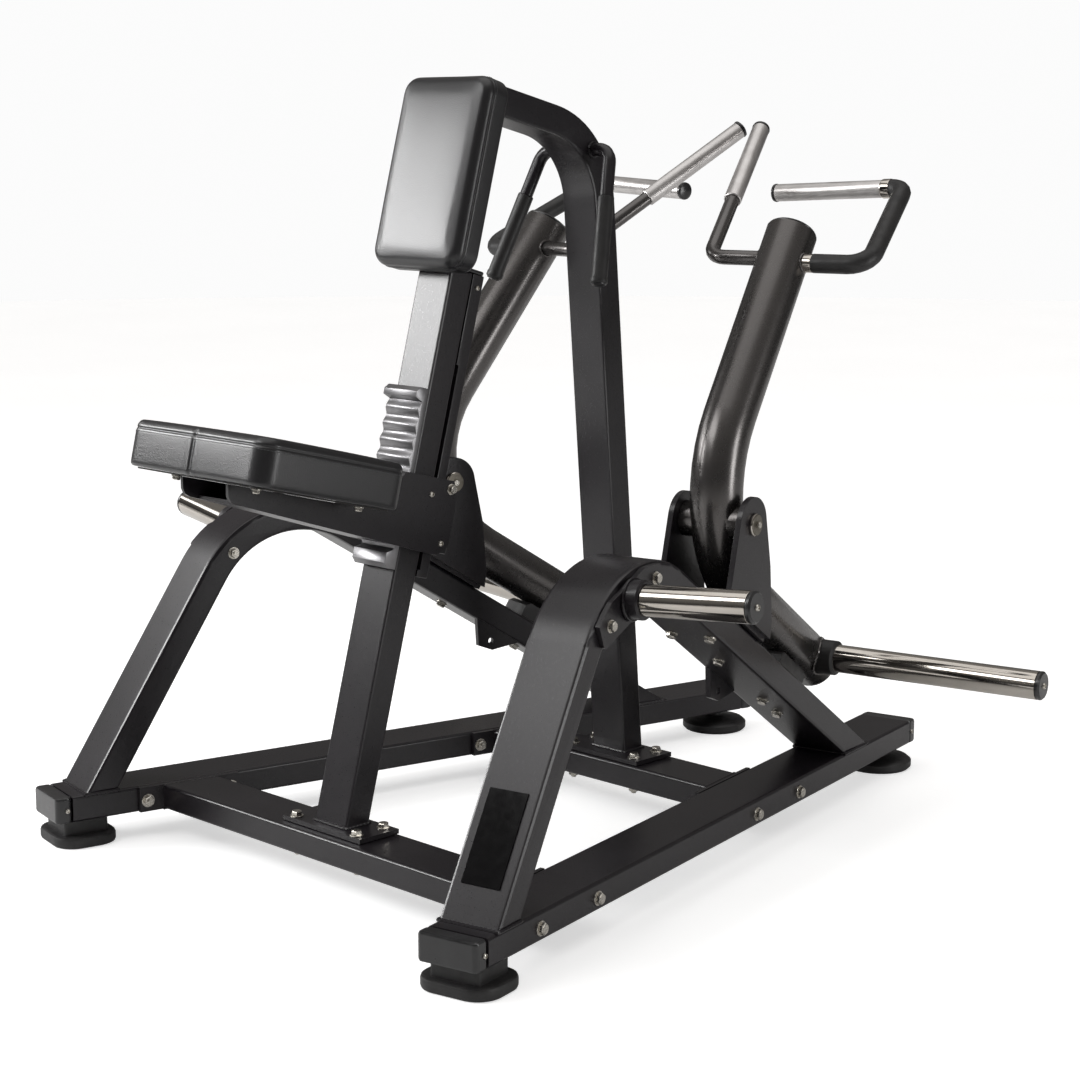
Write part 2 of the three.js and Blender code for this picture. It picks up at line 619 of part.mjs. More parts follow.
// The upright's side outline: rear face, outer bend, arm, pad end, inner bend and front face.
function uprightOutline(inset, footZ, endExtra) {
  const up = [-sin(UPRIGHT.lean), cos(UPRIGHT.lean)];
  const fore = [-cos(ARM_RISE), sin(ARM_RISE)];
  const half = (PI - Math.acos(up[0] * fore[0] + up[1] * fore[1])) / 2;
  const reach = UPRIGHT_BEND / sin(half);
  const middle = [fore[0] - up[0], fore[1] - up[1]];
  const size = Math.hypot(...middle);
  const centre = [UPRIGHT_CORNER.y + (reach * middle[0]) / size, UPRIGHT_CORNER.z + (reach * middle[1]) / size];
  const outer = UPRIGHT_BEND - inset;
  const inner = UPRIGHT_BEND - UPRIGHT.depth + inset;
  const rearAngle = UPRIGHT.lean;
  const topAngle = PI / 2 - ARM_RISE;
  const onUpright = (radius) => {
    const z = centre[1] + radius * sin(rearAngle);
    return [centre[0] + radius * cos(rearAngle) + (z - footZ) * tan(UPRIGHT.lean), footZ];
  };
  const onPadPlane = (radius) => {
    const y = centre[0] + radius * cos(topAngle);
    const z = centre[1] + radius * sin(topAngle);
    const plane = (z - plateTop) * tan(POST_LEAN) + POST.frontY + GAP + endExtra;
    const travel = (y - plane) / (cos(ARM_RISE) + sin(ARM_RISE) * tan(POST_LEAN));
    return [y - travel * cos(ARM_RISE), z + travel * sin(ARM_RISE)];
  };
  const shape = new THREE.Shape();
  shape.moveTo(...onUpright(inner));
  shape.lineTo(...onUpright(outer));
  shape.absarc(centre[0], centre[1], outer, rearAngle, topAngle, false);
  shape.lineTo(...onPadPlane(outer));
  shape.lineTo(...onPadPlane(inner));
  shape.absarc(centre[0], centre[1], inner, topAngle, rearAngle, true);
  return shape;
}

function uprightTube() {
  const half = UPRIGHT.width / 2;
  const skin = acrossX(uprightOutline(0, plateTop - 2, 0), -half, half, 5, 8);
  const bore = acrossX(uprightOutline(WALL, plateTop + 2, -10), -half + WALL, half - WALL, 0, 8);
  return join(cut(skin, bore), basePlate(849, 943, 98));
}

// Bent rods on both sides of the bend carry rubber grips for the free hand.
const rodRadius = 11.5;
const sideGripRadius = 14;
const sideGripLength = 152;
const rodStart = new THREE.Vector3(UPRIGHT.width / 2 + GAP, 791, 1188);
const rodElbow = new THREE.Vector3(80, 791, 1188);
const rodEnd = new THREE.Vector3(127, 714, 968);

function sideRod() {
  return roundTube(new BentPath([rodStart, rodElbow, rodEnd], [30]), rodRadius, 6);
}

function sideGrip() {
  const reach = rodElbow.distanceTo(rodEnd);
  const start = reach - sideGripLength;
  const rim = sideGripRadius + 1;
  const profile = [[rodRadius + GAP, start], [sideGripRadius - 0.6, start], [sideGripRadius, start + 1.5],
    [sideGripRadius, reach - 8], [rim, reach - 6], [rim, reach + 1], [rim - 2, reach + 4], [0, reach + 4],
    [0, reach + GAP], [rodRadius + GAP, reach + GAP], [rodRadius + GAP, start]];
  return aimed(turned(profile, 16), rodElbow, rodEnd);
}

addPiece(machine, 'upright_tube', 'frame', uprightTube());
addPiece(machine, 'side_rod_right', 'frame', sideRod());
addPiece(machine, 'side_rod_left', 'frame', mirrored(sideRod()));
addPiece(machine, 'side_grip_right', 'rubber', sideGrip());
addPiece(machine, 'side_grip_left', 'rubber', mirrored(sideGrip()));

// ---------------------------------------------------------------- seat post, rack and chest pad
function postTube() {
  const half = POST.width / 2;
  const foot = (across) => [across, -1 / cos(POST_LEAN) + across * tan(POST_LEAN)];
  const bottom = (across) => [across, 2 / cos(POST_LEAN) + across * tan(POST_LEAN)];
  const skin = acrossX(polygon([foot(0), foot(POST.depth), [POST.depth, POST.length], [0, POST.length]]), -half, half, 5);
  const bore = acrossX(polygon([bottom(WALL), bottom(POST.depth - WALL),
    [POST.depth - WALL, POST.length + 20], [WALL, POST.length + 20]]), -half + WALL, half - WALL);
  const plate = basePlate(194, 278, 98).translate(0, -POST.frontY, -plateTop).rotateX(POST_LEAN);
  return join(cut(skin, bore), plate);
}

// The carriage's guide bar stands behind the post, leaving a slot between the two.
function postGuide() {
  const near = POST.depth + GAP;
  return acrossX(polygon([[near, GUIDE.low], [GUIDE.back, GUIDE.low], [GUIDE.back, POST.length],
    [near, POST.length], [near, GUIDE.slotTop], [GUIDE.front, GUIDE.slotTop], [GUIDE.front, GUIDE.low + 12],
    [near, GUIDE.low + 12]]), -POST.width / 2, POST.width / 2, 1.5);
}

function postCap() {
  const shape = roundedRectangle(POST.width, GUIDE.back, 6);
  return upwards(shape, POST.length + GAP, POST.length + 7, 2, 3).translate(0, GUIDE.back / 2, 0);
}

// Rounded ratchet teeth face the user between two thicker, chamfered end blocks.
function ratchetRack() {
  const front = -RACK.thickness;
  const low = RACK.low + RACK.foot;
  const high = RACK.high - RACK.head;
  const pitch = (high - low) / RACK.teeth;
  const chamfer = 8;
  const hollow = 9; // height of the curve between the lower block and the first tooth
  const outline = [[-GAP, RACK.low], [front + chamfer, RACK.low], [front, RACK.low + chamfer], [front, low - hollow],
    [front + 6, low - hollow + 3], [-RACK.crest + 3, low - 3]];
  const steps = 8;
  for (let i = 0; i <= RACK.teeth * steps; i += 1) {
    const depth = RACK.crest - RACK.tooth * (0.5 + 0.5 * cos(2 * PI * i / steps));
    outline.push([-depth, low + pitch * i / steps]);
  }
  outline.push([front, high + 5], [front, RACK.high - chamfer], [front + chamfer, RACK.high], [-GAP, RACK.high]);
  return acrossX(polygon(outline), -RACK.width / 2, RACK.width / 2);
}

function chestPad() {
  const back = -PAD_PLATE.thickness - 2 * GAP;
  const shape = roundedRectangle(PAD.width, PAD.height, 26);
  const pad = upwards(shape, 0, PAD.thickness, 14, 5).rotateX(PI / 2);
  return pad.translate(0, back, PAD.low + PAD.height / 2);
}

function padPlate() {
  const height = PAD_PLATE.high - PAD_PLATE.low;
  return block(PAD_PLATE.width, PAD_PLATE.thickness, height)
    .translate(0, -GAP - PAD_PLATE.thickness / 2, PAD_PLATE.low + height / 2);
}

addPiece(post, 'seat_post', 'frame', postTube());
addPiece(post, 'post_guide', 'frame', postGuide());
addPiece(post, 'post_cap', 'plastic', postCap());
addPiece(post, 'ratchet_rack', 'rack', ratchetRack());
addPiece(post, 'pad_plate', 'frame', padPlate());
addPiece(post, 'chest_pad', 'leather', chestPad());

// ---------------------------------------------------------------- seat and its sliding carriage
const seat = new THREE.Group();
seat.position.set(0, SEAT.y, SEAT.z);
seat.rotation.x = -SEAT_TILT;
machine.add(seat);

function seatCushion() {
  const shape = roundedRectangle(SEAT.width, SEAT.depth, 26);
  return upwards(shape, -SEAT.thickness / 2, SEAT.thickness / 2, 12, 5);
}

const boardTop = -SEAT.thickness / 2 - GAP;

function seatBoard() {
  return upwards(roundedRectangle(SEAT.width - 26, SEAT.depth - 26, 20), boardTop - SEAT_BOARD, boardTop, 0, 4);
}

// Height of the board's underside above the floor at a place along Y.
function underBoard(y) {
  const drop = SEAT.thickness / 2 + SEAT_BOARD + 2 * GAP;
  return SEAT.z - (y - SEAT.y) * tan(SEAT_TILT) - drop / cos(SEAT_TILT);
}

// A point in the machine's Y-Z plane from a place in the post's frame.
function fromPost(across, up) {
  return [POST.frontY + up * sin(POST_LEAN) + across * cos(POST_LEAN),
    plateTop + up * cos(POST_LEAN) - across * sin(POST_LEAN)];
}

// Two side plates joined by a floor under the seat and a cross wall in front of the rack; open in front.
function seatCarriage() {
  const floor = (y) => 666 - (y + 22) * 0.3206;
  const nose = -22; // front ends of the side plates
  const outline = polygon([[nose, underBoard(nose)], [nose, 676], [nose + 4, 667], [nose + 12, floor(nose + 12)],
    [318, floor(318)], [400, 531], [426, 543], [445, 614], [442, 650], [336, 677], [300, 640],
    [285, underBoard(285)]]);
  const body = acrossX(outline, -CARRIAGE.half, CARRIAGE.half);
  const inside = CARRIAGE.half - CARRIAGE.plate;
  const wallBack = -RACK.thickness - 3;
  const wallFront = wallBack - 8;
  const [wallFoot] = fromPost(wallFront, 455);
  const hollow = polygon([[nose - 20, floor(nose - 20) - 20], [nose + 30, floor(nose + 30) - 20],
    [nose + 30, floor(nose + 30) + 6], [wallFoot, floor(wallFoot) + 6], fromPost(wallFront, 640), [nose - 20, 780]]);
  const passage = polygon([fromPost(wallBack, 300), fromPost(300, 300), fromPost(300, 800), fromPost(wallBack, 800)]);
  return cut(body, acrossX(hollow, -inside, inside), acrossX(passage, -inside, inside));
}

// A nylon block between the side plates slides on the back of the guide bar.
function carriageGlide() {
  const half = CARRIAGE.half - CARRIAGE.plate - GAP;
  const low = fromPost(GUIDE.back + 1.5, 470);
  const high = fromPost(GUIDE.back + 1.5, 560);
  return acrossX(polygon([low, fromPost(GUIDE.back + 18, 470), fromPost(GUIDE.back + 18, 560), high]), -half, half, 1.5);
}

addPiece(seat, 'seat_cushion', 'leather', seatCushion());
addPiece(seat, 'seat_board', 'board', seatBoard());
addPiece(machine, 'seat_carriage', 'frame', seatCarriage());
addPiece(machine, 'carriage_glide', 'plastic', carriageGlide());

// ---------------------------------------------------------------- reference frame
// The origin is on the floor, under the middle of the whole machine.
machine.updateMatrixWorld(true);
const extent = new THREE.Box3().setFromObject(machine, true);
const group = new THREE.Group();
machine.position.set(0, -(extent.min.y + extent.max.y) / 2, -extent.min.z);
group.add(machine);

export default group;
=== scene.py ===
"""Looks of a plate-loaded seated row machine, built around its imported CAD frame. Metres, +Z up."""

import json
import math

import bmesh
import bpy
from mathutils import Matrix, Vector
from mathutils.bvhtree import BVHTree


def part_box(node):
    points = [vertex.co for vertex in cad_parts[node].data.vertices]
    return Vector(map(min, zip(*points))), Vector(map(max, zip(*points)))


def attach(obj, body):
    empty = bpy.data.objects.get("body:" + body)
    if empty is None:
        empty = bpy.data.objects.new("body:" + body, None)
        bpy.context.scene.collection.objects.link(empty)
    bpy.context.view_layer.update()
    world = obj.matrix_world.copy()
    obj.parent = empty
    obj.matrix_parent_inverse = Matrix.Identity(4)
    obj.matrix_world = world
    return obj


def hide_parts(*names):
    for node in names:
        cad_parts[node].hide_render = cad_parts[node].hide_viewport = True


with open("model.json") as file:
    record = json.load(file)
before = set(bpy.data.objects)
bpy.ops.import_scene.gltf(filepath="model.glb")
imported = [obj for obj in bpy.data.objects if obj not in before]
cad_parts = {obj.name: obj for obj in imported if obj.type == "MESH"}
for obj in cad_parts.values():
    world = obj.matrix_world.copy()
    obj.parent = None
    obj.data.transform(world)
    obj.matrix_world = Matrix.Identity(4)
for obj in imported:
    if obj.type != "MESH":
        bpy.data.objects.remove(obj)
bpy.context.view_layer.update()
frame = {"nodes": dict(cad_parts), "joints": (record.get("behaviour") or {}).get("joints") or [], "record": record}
NODES = frame["nodes"]
JOINTS = {j["name"]: j for j in frame["joints"]}

# ------------------------------------------------------------------ places on the machine
SPLAY = math.radians(12)
REAR_SLOPE = math.radians(32)          # rear tube of each arch, below horizontal
POST_LEAN = math.radians(15.2)
SEAT_TILT = math.radians(14)
RAIL_X = 0.512                         # rail centre line at the front end
PIVOT_ALONG = 0.787                    # pivot's distance along the rail
PIVOT_UP = 0.579
PIVOT = Vector(JOINTS["right_arm_pivot"]["pos_m"])
FRONT_Y = PIVOT.y - PIVOT_ALONG * math.cos(SPLAY)
RIGHT, LEFT = 1, -1
SIDE_NAME = {RIGHT: "right", LEFT: "left"}
ARM = {RIGHT: "right_lever_arm", LEFT: "left_lever_arm"}


def side_dir(sg, along, out, up):
    """A direction given along one rail, outwards from it and up."""
    s, c = math.sin(SPLAY), math.cos(SPLAY)
    return Vector((sg * (c * out - s * along), c * along + s * out, up))


def side_point(sg, along, out, up):
    """A point given along one rail from its front end, outwards from its centre line and up."""
    return side_dir(sg, along, out, up) + Vector((sg * RAIL_X, FRONT_Y, 0))


def machine_point(x, y, z):
    """A point given from the rails' front ends."""
    return Vector((x, y + FRONT_Y, z))


POST_FOOT = machine_point(0, 0.2133, 0.0993)
POST_UP = Vector((0, math.sin(POST_LEAN), math.cos(POST_LEAN)))
POST_BACK = Vector((0, math.cos(POST_LEAN), -math.sin(POST_LEAN)))


def post_point(x, back, up):
    """A point in the seat post's frame, from the foot of its front face."""
    return POST_FOOT + Vector((x, 0, 0)) + POST_BACK * back + POST_UP * up


LEVER_RISE = math.radians(53.8)        # upper run of each lever, above horizontal
LEVER_RADIUS = 0.0445
LEVER_BEND = 0.220                     # radius of the lever's centre line at its bend
SADDLE_POINTS = 72


def on_lever(from_bend, upper=True):
    """A point on the lever's centre line, as (along the rail, up)."""
    middle, half = (LEVER_RISE - REAR_SLOPE) / 2, (LEVER_RISE + REAR_SLOPE) / 2
    inward = LEVER_BEND - LEVER_BEND / math.sin(half)
    reach = LEVER_BEND / math.tan(half) + from_bend
    rise = LEVER_RISE if upper else -REAR_SLOPE
    return (PIVOT_ALONG + inward * math.cos(middle) + reach * math.cos(rise),
            PIVOT_UP + inward * math.sin(middle) + reach * math.sin(rise))


def saddle(sg, centre, rise, way, radius):
    """The line where a round tube of some radius runs into the side of the lever."""
    line = []
    for k in range(SADDLE_POINTS):
        angle = 2 * math.pi * k / SADDLE_POINTS
        p, q = radius * math.cos(angle), radius * math.sin(angle)
        line.append(side_point(sg, centre[0] + p * math.cos(rise) - q * math.sin(rise),
                               way * math.sqrt(LEVER_RADIUS ** 2 - q ** 2),
                               centre[1] + p * math.sin(rise) + q * math.cos(rise)))
    return line


# Where the two handles and the load horn leave the lever, as (along the rail, up).
INNER_ROOT = on_lever(0.313)
OUTER_ROOT = on_lever(0.306)
HORN_ROOT = on_lever(0.274, upper=False)
LOAD_COLLAR_END = 0.0706               # outer end of the load horn's collar, from the rail's centre line


# ------------------------------------------------------------------ material tools
class Shader:
    """A principled material with a few helpers for noise, ramps and bumps in object space."""

    def __init__(self, name, **values):
        self.mat = bpy.data.materials.new(name)
        self.mat.use_nodes = True
        self.tree = self.mat.node_tree
        self.bsdf = self.tree.nodes["Principled BSDF"]
        self.coord = self.tree.nodes.new("ShaderNodeTexCoord").outputs["Object"]
        self.height = None
        for key, value in values.items():
            self.bsdf.inputs[key.replace("_", " ")].default_value = value

    def node(self, kind, **inputs):
        made = self.tree.nodes.new(kind)
        for key, value in inputs.items():
            socket = made.inputs[key.replace("_", " ")]
            if isinstance(value, bpy.types.NodeSocket):
                self.tree.links.new(value, socket)
            else:
                socket.default_value = value
        return made

    def stretched(self, x, y, z):
        made = self.node("ShaderNodeMapping", Vector=self.coord)
        made.inputs["Scale"].default_value = (x, y, z)
        return made.outputs["Vector"]

    def noise(self, scale, detail=3.0, roughness=0.55, vector=None):
        return self.node("ShaderNodeTexNoise", Vector=vector or self.coord, Scale=scale,
                         Detail=detail, Roughness=roughness).outputs["Fac"]

    def cells(self, scale, feature="F1"):
        made = self.node("ShaderNodeTexVoronoi", Vector=self.coord, Scale=scale)
        made.feature = feature
        return made.outputs["Distance"]

    def spread(self, value, low, high, to_low=0.0, to_high=1.0):
        made = self.node("ShaderNodeMapRange", Value=value)
        for key, number in (("From Min", low), ("From Max", high),
                            ("To Min", to_low), ("To Max", to_high)):
            made.inputs[key].default_value = number
        return made.outputs["Result"]

    def mix(self, factor, a, b):
        made = self.tree.nodes.new("ShaderNodeMix")
        made.data_type = "RGBA"
        self.tree.links.new(factor, made.inputs["Factor"])
        for socket, value in ((made.inputs[6], a), (made.inputs[7], b)):
            if isinstance(value, bpy.types.NodeSocket):
                self.tree.links.new(value, socket)
            else:
                socket.default_value = (*value, 1)
        return made.outputs[2]

    def math(self, operation, a, b):
        made = self.tree.nodes.new("ShaderNodeMath")
        made.operation = operation
        for socket, value in zip(made.inputs, (a, b)):
            if isinstance(value, bpy.types.NodeSocket):
                self.tree.links.new(value, socket)
            else:
                socket.default_value = value
        return made.outputs[0]

    def tones(self, pattern, low, high, dark, light):
        """Two colours mixed by a pattern whose values between low and high count."""
        return self.mix(self.spread(pattern, low, high), dark, light)

    def roughness(self, pattern, least, most, low=0.3, high=0.7):
        self.to("Roughness", self.spread(pattern, low, high, least, most))

    def to(self, socket, value):
        self.tree.links.new(value, self.bsdf.inputs[socket])

    def bump(self, height, strength, distance):
        made = self.node("ShaderNodeBump", Height=height, Strength=strength, Distance=distance)
        if self.height is not None:
            self.tree.links.new(self.height, made.inputs["Normal"])
        self.height = made.outputs["Normal"]
        self.to("Normal", self.height)


def powder_coat():
    s = Shader("powder_coat", IOR=1.5, Specular_IOR_Level=0.5)
    tone = s.tones(s.noise(9, 4), 0.35, 0.65, (0.0088, 0.0072, 0.0092), (0.0125, 0.0104, 0.0128))
    fleck = s.spread(s.noise(2600, 1, 0.4), 0.60, 0.74)
    s.to("Base Color", s.mix(s.math("MULTIPLY", fleck, 0.18), tone, (0.075, 0.068, 0.075)))
    s.roughness(s.noise(420, 3), 0.27, 0.33)
    s.bump(s.noise(1100, 2), 0.16, 0.0003)
    return s.mat


def lever_enamel():
    s = Shader("lever_enamel", Metallic=0.9, Coat_Weight=0.2, Coat_Roughness=0.12, IOR=1.5)
    tone = s.tones(s.noise(6, 3), 0.35, 0.65, (0.108, 0.101, 0.099), (0.120, 0.113, 0.110))
    s.to("Base Color", s.tones(s.noise(1400, 2), 0.3, 0.7, tone, (0.130, 0.123, 0.120)))
    s.roughness(s.noise(40, 3), 0.26, 0.29)
    s.bump(s.noise(1100, 2), 0.012, 0.0001)
    return s.mat


def chrome():
    s = Shader("chrome", Metallic=1.0)
    s.to("Base Color", s.tones(s.noise(14, 5), 0.4, 0.7, (0.57, 0.535, 0.49), (0.50, 0.465, 0.42)))
    scratches = s.noise(90, 5, 0.6, s.stretched(1, 9, 9))
    s.roughness(scratches, 0.06, 0.13, 0.35, 0.75)
    s.bump(scratches, 0.02, 0.0003)
    return s.mat


def satin_aluminium():
    s = Shader("satin_aluminium", Metallic=0.95, Anisotropic=0.4)
    s.to("Base Color", s.tones(s.noise(40, 4), 0.35, 0.65, (0.60, 0.580, 0.570), (0.68, 0.660, 0.650)))
    grain = s.noise(800, 3, 0.6)
    s.roughness(grain, 0.34, 0.44)
    s.bump(grain, 0.07, 0.0003)
    return s.mat


def blackened_rack():
    s = Shader("blackened_rack", Metallic=0.7, IOR=1.5, Specular_IOR_Level=0.5, Coat_Weight=0.2,
               Coat_Roughness=0.22)
    s.to("Base Color", s.tones(s.noise(60, 5), 0.35, 0.7, (0.185, 0.182, 0.188), (0.225, 0.222, 0.228)))
    grain = s.noise(220, 4, 0.6, s.stretched(1, 8, 8))
    s.roughness(grain, 0.30, 0.36)
    s.bump(grain, 0.06, 0.0003)
    return s.mat


def zinc():
    s = Shader("bright_zinc", Metallic=1.0)
    s.to("Base Color", s.tones(s.noise(260, 4), 0.35, 0.7, (0.66, 0.63, 0.57), (0.48, 0.46, 0.42)))
    s.roughness(s.noise(500, 4), 0.18, 0.36)
    s.bump(s.noise(900, 2), 0.12, 0.0003)
    return s.mat


def burnished_bronze():
    s = Shader("burnished_bronze", Metallic=0.9)
    s.to("Base Color", s.tones(s.noise(180, 4), 0.35, 0.7, (0.160, 0.145, 0.120), (0.220, 0.202, 0.170)))
    s.roughness(s.noise(300, 4), 0.30, 0.42)
    s.bump(s.noise(900, 2), 0.08, 0.0002)
    return s.mat


def rubber():
    s = Shader("moulded_rubber", IOR=1.5, Specular_IOR_Level=0.5)
    s.to("Base Color", s.tones(s.noise(35, 5), 0.35, 0.7, (0.012, 0.0115, 0.012), (0.021, 0.020, 0.020)))
    s.roughness(s.noise(60, 5), 0.40, 0.56)
    s.bump(s.noise(1500, 2), 0.2, 0.0003)
    return s.mat


def moulded_plastic():
    s = Shader("moulded_plastic", IOR=1.5, Coat_Weight=0.35, Coat_Roughness=0.12)
    s.to("Base Color", s.tones(s.noise(25, 5), 0.35, 0.7, (0.010, 0.010, 0.011), (0.017, 0.017, 0.018)))
    s.roughness(s.noise(50, 5), 0.26, 0.36)
    s.bump(s.cells(1400), 0.06, 0.0003)
    return s.mat


def leatherette():
    s = Shader("leatherette", IOR=1.5, Specular_IOR_Level=0.5, Coat_Weight=0.22, Coat_Roughness=0.25)
    tone = s.tones(s.noise(30, 4), 0.3, 0.7, (0.0078, 0.0074, 0.0086), (0.0102, 0.0098, 0.0112))
    grain = s.cells(620, "SMOOTH_F1")
    creases = s.spread(grain, 0.0, 0.55)
    s.to("Base Color", s.mix(s.math("MULTIPLY", creases, 0.3), tone, (0.020, 0.020, 0.022)))
    s.roughness(s.noise(500, 3), 0.31, 0.37)
    s.bump(grain, 0.5, 0.0004)
    s.bump(s.noise(240, 3, 0.5), 0.05, 0.0004)
    return s.mat


def thread():
    s = Shader("thread", IOR=1.5)
    s.to("Base Color", s.mix(s.noise(900, 3), (0.040, 0.040, 0.043), (0.090, 0.090, 0.094)))
    s.roughness(s.noise(700, 3), 0.5, 0.75)
    s.bump(s.noise(3500, 2), 0.5, 0.0002)
    return s.mat


def painted_ply():
    s = Shader("painted_ply", IOR=1.45)
    grain = s.noise(18, 6, 0.65, s.stretched(1, 12, 12))
    s.to("Base Color", s.tones(grain, 0.3, 0.7, (0.014, 0.013, 0.013), (0.030, 0.027, 0.025)))
    s.roughness(grain, 0.5, 0.7)
    s.bump(grain, 0.3, 0.0005)
    return s.mat


def gloss_plate():
    s = Shader("gloss_plate", Specular_IOR_Level=0.25, IOR=1.45)
    tone = s.tones(s.noise(60, 4), 0.35, 0.65, (0.0025, 0.0024, 0.0028), (0.0042, 0.0040, 0.0045))
    s.to("Base Color", tone)
    s.roughness(s.noise(80, 4), 0.10, 0.16)
    s.bump(s.noise(300, 2), 0.01, 0.0002)
    return s.mat


def studio_floor():
    """A pale floor that the camera sees brighter than the metal does."""
    s = Shader("studio_floor")
    tone = s.mix(s.noise(1.2, 4), (0.78, 0.78, 0.78), (0.82, 0.82, 0.82))
    s.to("Base Color", tone)
    s.roughness(s.noise(14, 4), 0.6, 0.75)
    s.bump(s.noise(300, 2), 0.04, 0.0005)
    s.to("Emission Color", tone)
    seen = s.tree.nodes.new("ShaderNodeLightPath").outputs["Is Camera Ray"]
    s.to("Emission Strength", s.math("MULTIPLY", seen, 0.72))
    return s.mat


M = {"frame": powder_coat(), "lever": lever_enamel(), "chrome": chrome(),
     "aluminium": satin_aluminium(), "rack": blackened_rack(), "zinc": zinc(),
     "bronze": burnished_bronze(), "rubber": rubber(), "plastic": moulded_plastic(),
     "leather": leatherette(), "thread": thread(), "board": painted_ply(), "plate": gloss_plate()}


# ------------------------------------------------------------------ carried CAD nodes
SHARP_ANGLE = math.radians(34)         # edges steeper than this stay sharp
BEVEL_ANGLE = math.radians(50)         # edges steeper than this are rounded
LARGE_FACE_WEIGHT = 80
WELD_DISTANCE = 0.00002


def smooth_group():
    """A node group that shades a mesh smooth, but for its real edges."""
    tree = bpy.data.node_groups.new("smooth_by_angle", "GeometryNodeTree")
    tree.interface.new_socket("Geometry", in_out="INPUT", socket_type="NodeSocketGeometry")
    tree.interface.new_socket("Geometry", in_out="OUTPUT", socket_type="NodeSocketGeometry")
    first, last = tree.nodes.new("NodeGroupInput"), tree.nodes.new("NodeGroupOutput")
    faces = tree.nodes.new("GeometryNodeSetShadeSmooth")
    edges = tree.nodes.new("GeometryNodeSetShadeSmooth")
    edges.domain = "EDGE"
    edges.inputs["Shade Smooth"].default_value = False
    angle = tree.nodes.new("GeometryNodeInputMeshEdgeAngle")
    sharp = tree.nodes.new("FunctionNodeCompare")
    sharp.operation = "GREATER_THAN"
    sharp.inputs[1].default_value = SHARP_ANGLE
    for a, b in ((first.outputs[0], faces.inputs["Geometry"]),
                 (faces.outputs[0], edges.inputs["Geometry"]),
                 (angle.outputs["Unsigned Angle"], sharp.inputs[0]),
                 (sharp.outputs[0], edges.inputs["Selection"]),
                 (edges.outputs[0], last.inputs[0])):
        tree.links.new(a, b)
    return tree


SMOOTH = smooth_group()


def shade(obj, edge=0.0, flat_faces=True):
    """Smooth shading by angle, with small rounded edges where edge is a width.

    With flat_faces, the large faces keep their own normal and the small ones bend into them.
    """
    if edge:
        bevel = obj.modifiers.new("edges", "BEVEL")
        bevel.width = edge
        bevel.segments = 2
        bevel.limit_method = "ANGLE"
        bevel.angle_limit = BEVEL_ANGLE
        bevel.use_clamp_overlap = True
    smooth = obj.modifiers.new("smooth", "NODES")
    smooth.node_group = SMOOTH
    if flat_faces:
        flat = obj.modifiers.new("flat_faces", "WEIGHTED_NORMAL")
        flat.mode = "FACE_AREA"
        flat.weight = LARGE_FACE_WEIGHT
        flat.keep_sharp = True


# Widths of the rounded edges, and the kinds with no large flat faces to weigh.
EDGES = {"frame": 0.0012, "lever": 0.001, "plastic": 0.0015, "rubber": 0.0015, "chrome": 0.001,
         "aluminium": 0.0, "rack": 0.0008, "board": 0.0004, "plate": 0.0005, "leather": 0.0}
ALL_CURVED = ("rack", "lever")
SLOT_OF = {row["node"]: row["material_slot"] for row in frame["record"]["subparts"]}

for name, node in NODES.items():
    kind = SLOT_OF[name]
    node.data.materials.clear()
    node.data.materials.append(M[kind])
    if node.data.has_custom_normals:
        with bpy.context.temp_override(object=node, active_object=node):
            bpy.ops.mesh.customdata_custom_splitnormals_clear()
    weld = node.modifiers.new("weld", "WELD")
    weld.merge_threshold = WELD_DISTANCE
    shade(node, EDGES[kind], flat_faces=kind not in ALL_CURVED)

# The collar at the root of each load horn is black rubber; the rest of the horn is chrome.
for sg in (RIGHT, LEFT):
    horn = NODES["load_horn_" + SIDE_NAME[sg]]
    horn.data.materials.append(M["rubber"])
    out, middle = side_dir(sg, 0, 1, 0), side_point(sg, 0, 0, 0)
    for polygon in horn.data.polygons:
        if (polygon.center - middle).dot(out) < LOAD_COLLAR_END:
            polygon.material_index = 1


# ------------------------------------------------------------------ mesh tools
def in_scene(name, data):
    """A new object in the scene's own collection."""
    obj = bpy.data.objects.new(name, data)
    bpy.context.scene.collection.objects.link(obj)
    return obj


BEAD_STEP = 0.0026                     # spacing of the points along a weld
BEAD_RIPPLE = 0.10                     # how much a weld's size varies along it
NEARLY_NOTHING = 0.00005               # a turned shape's ends are closed with a ring this small


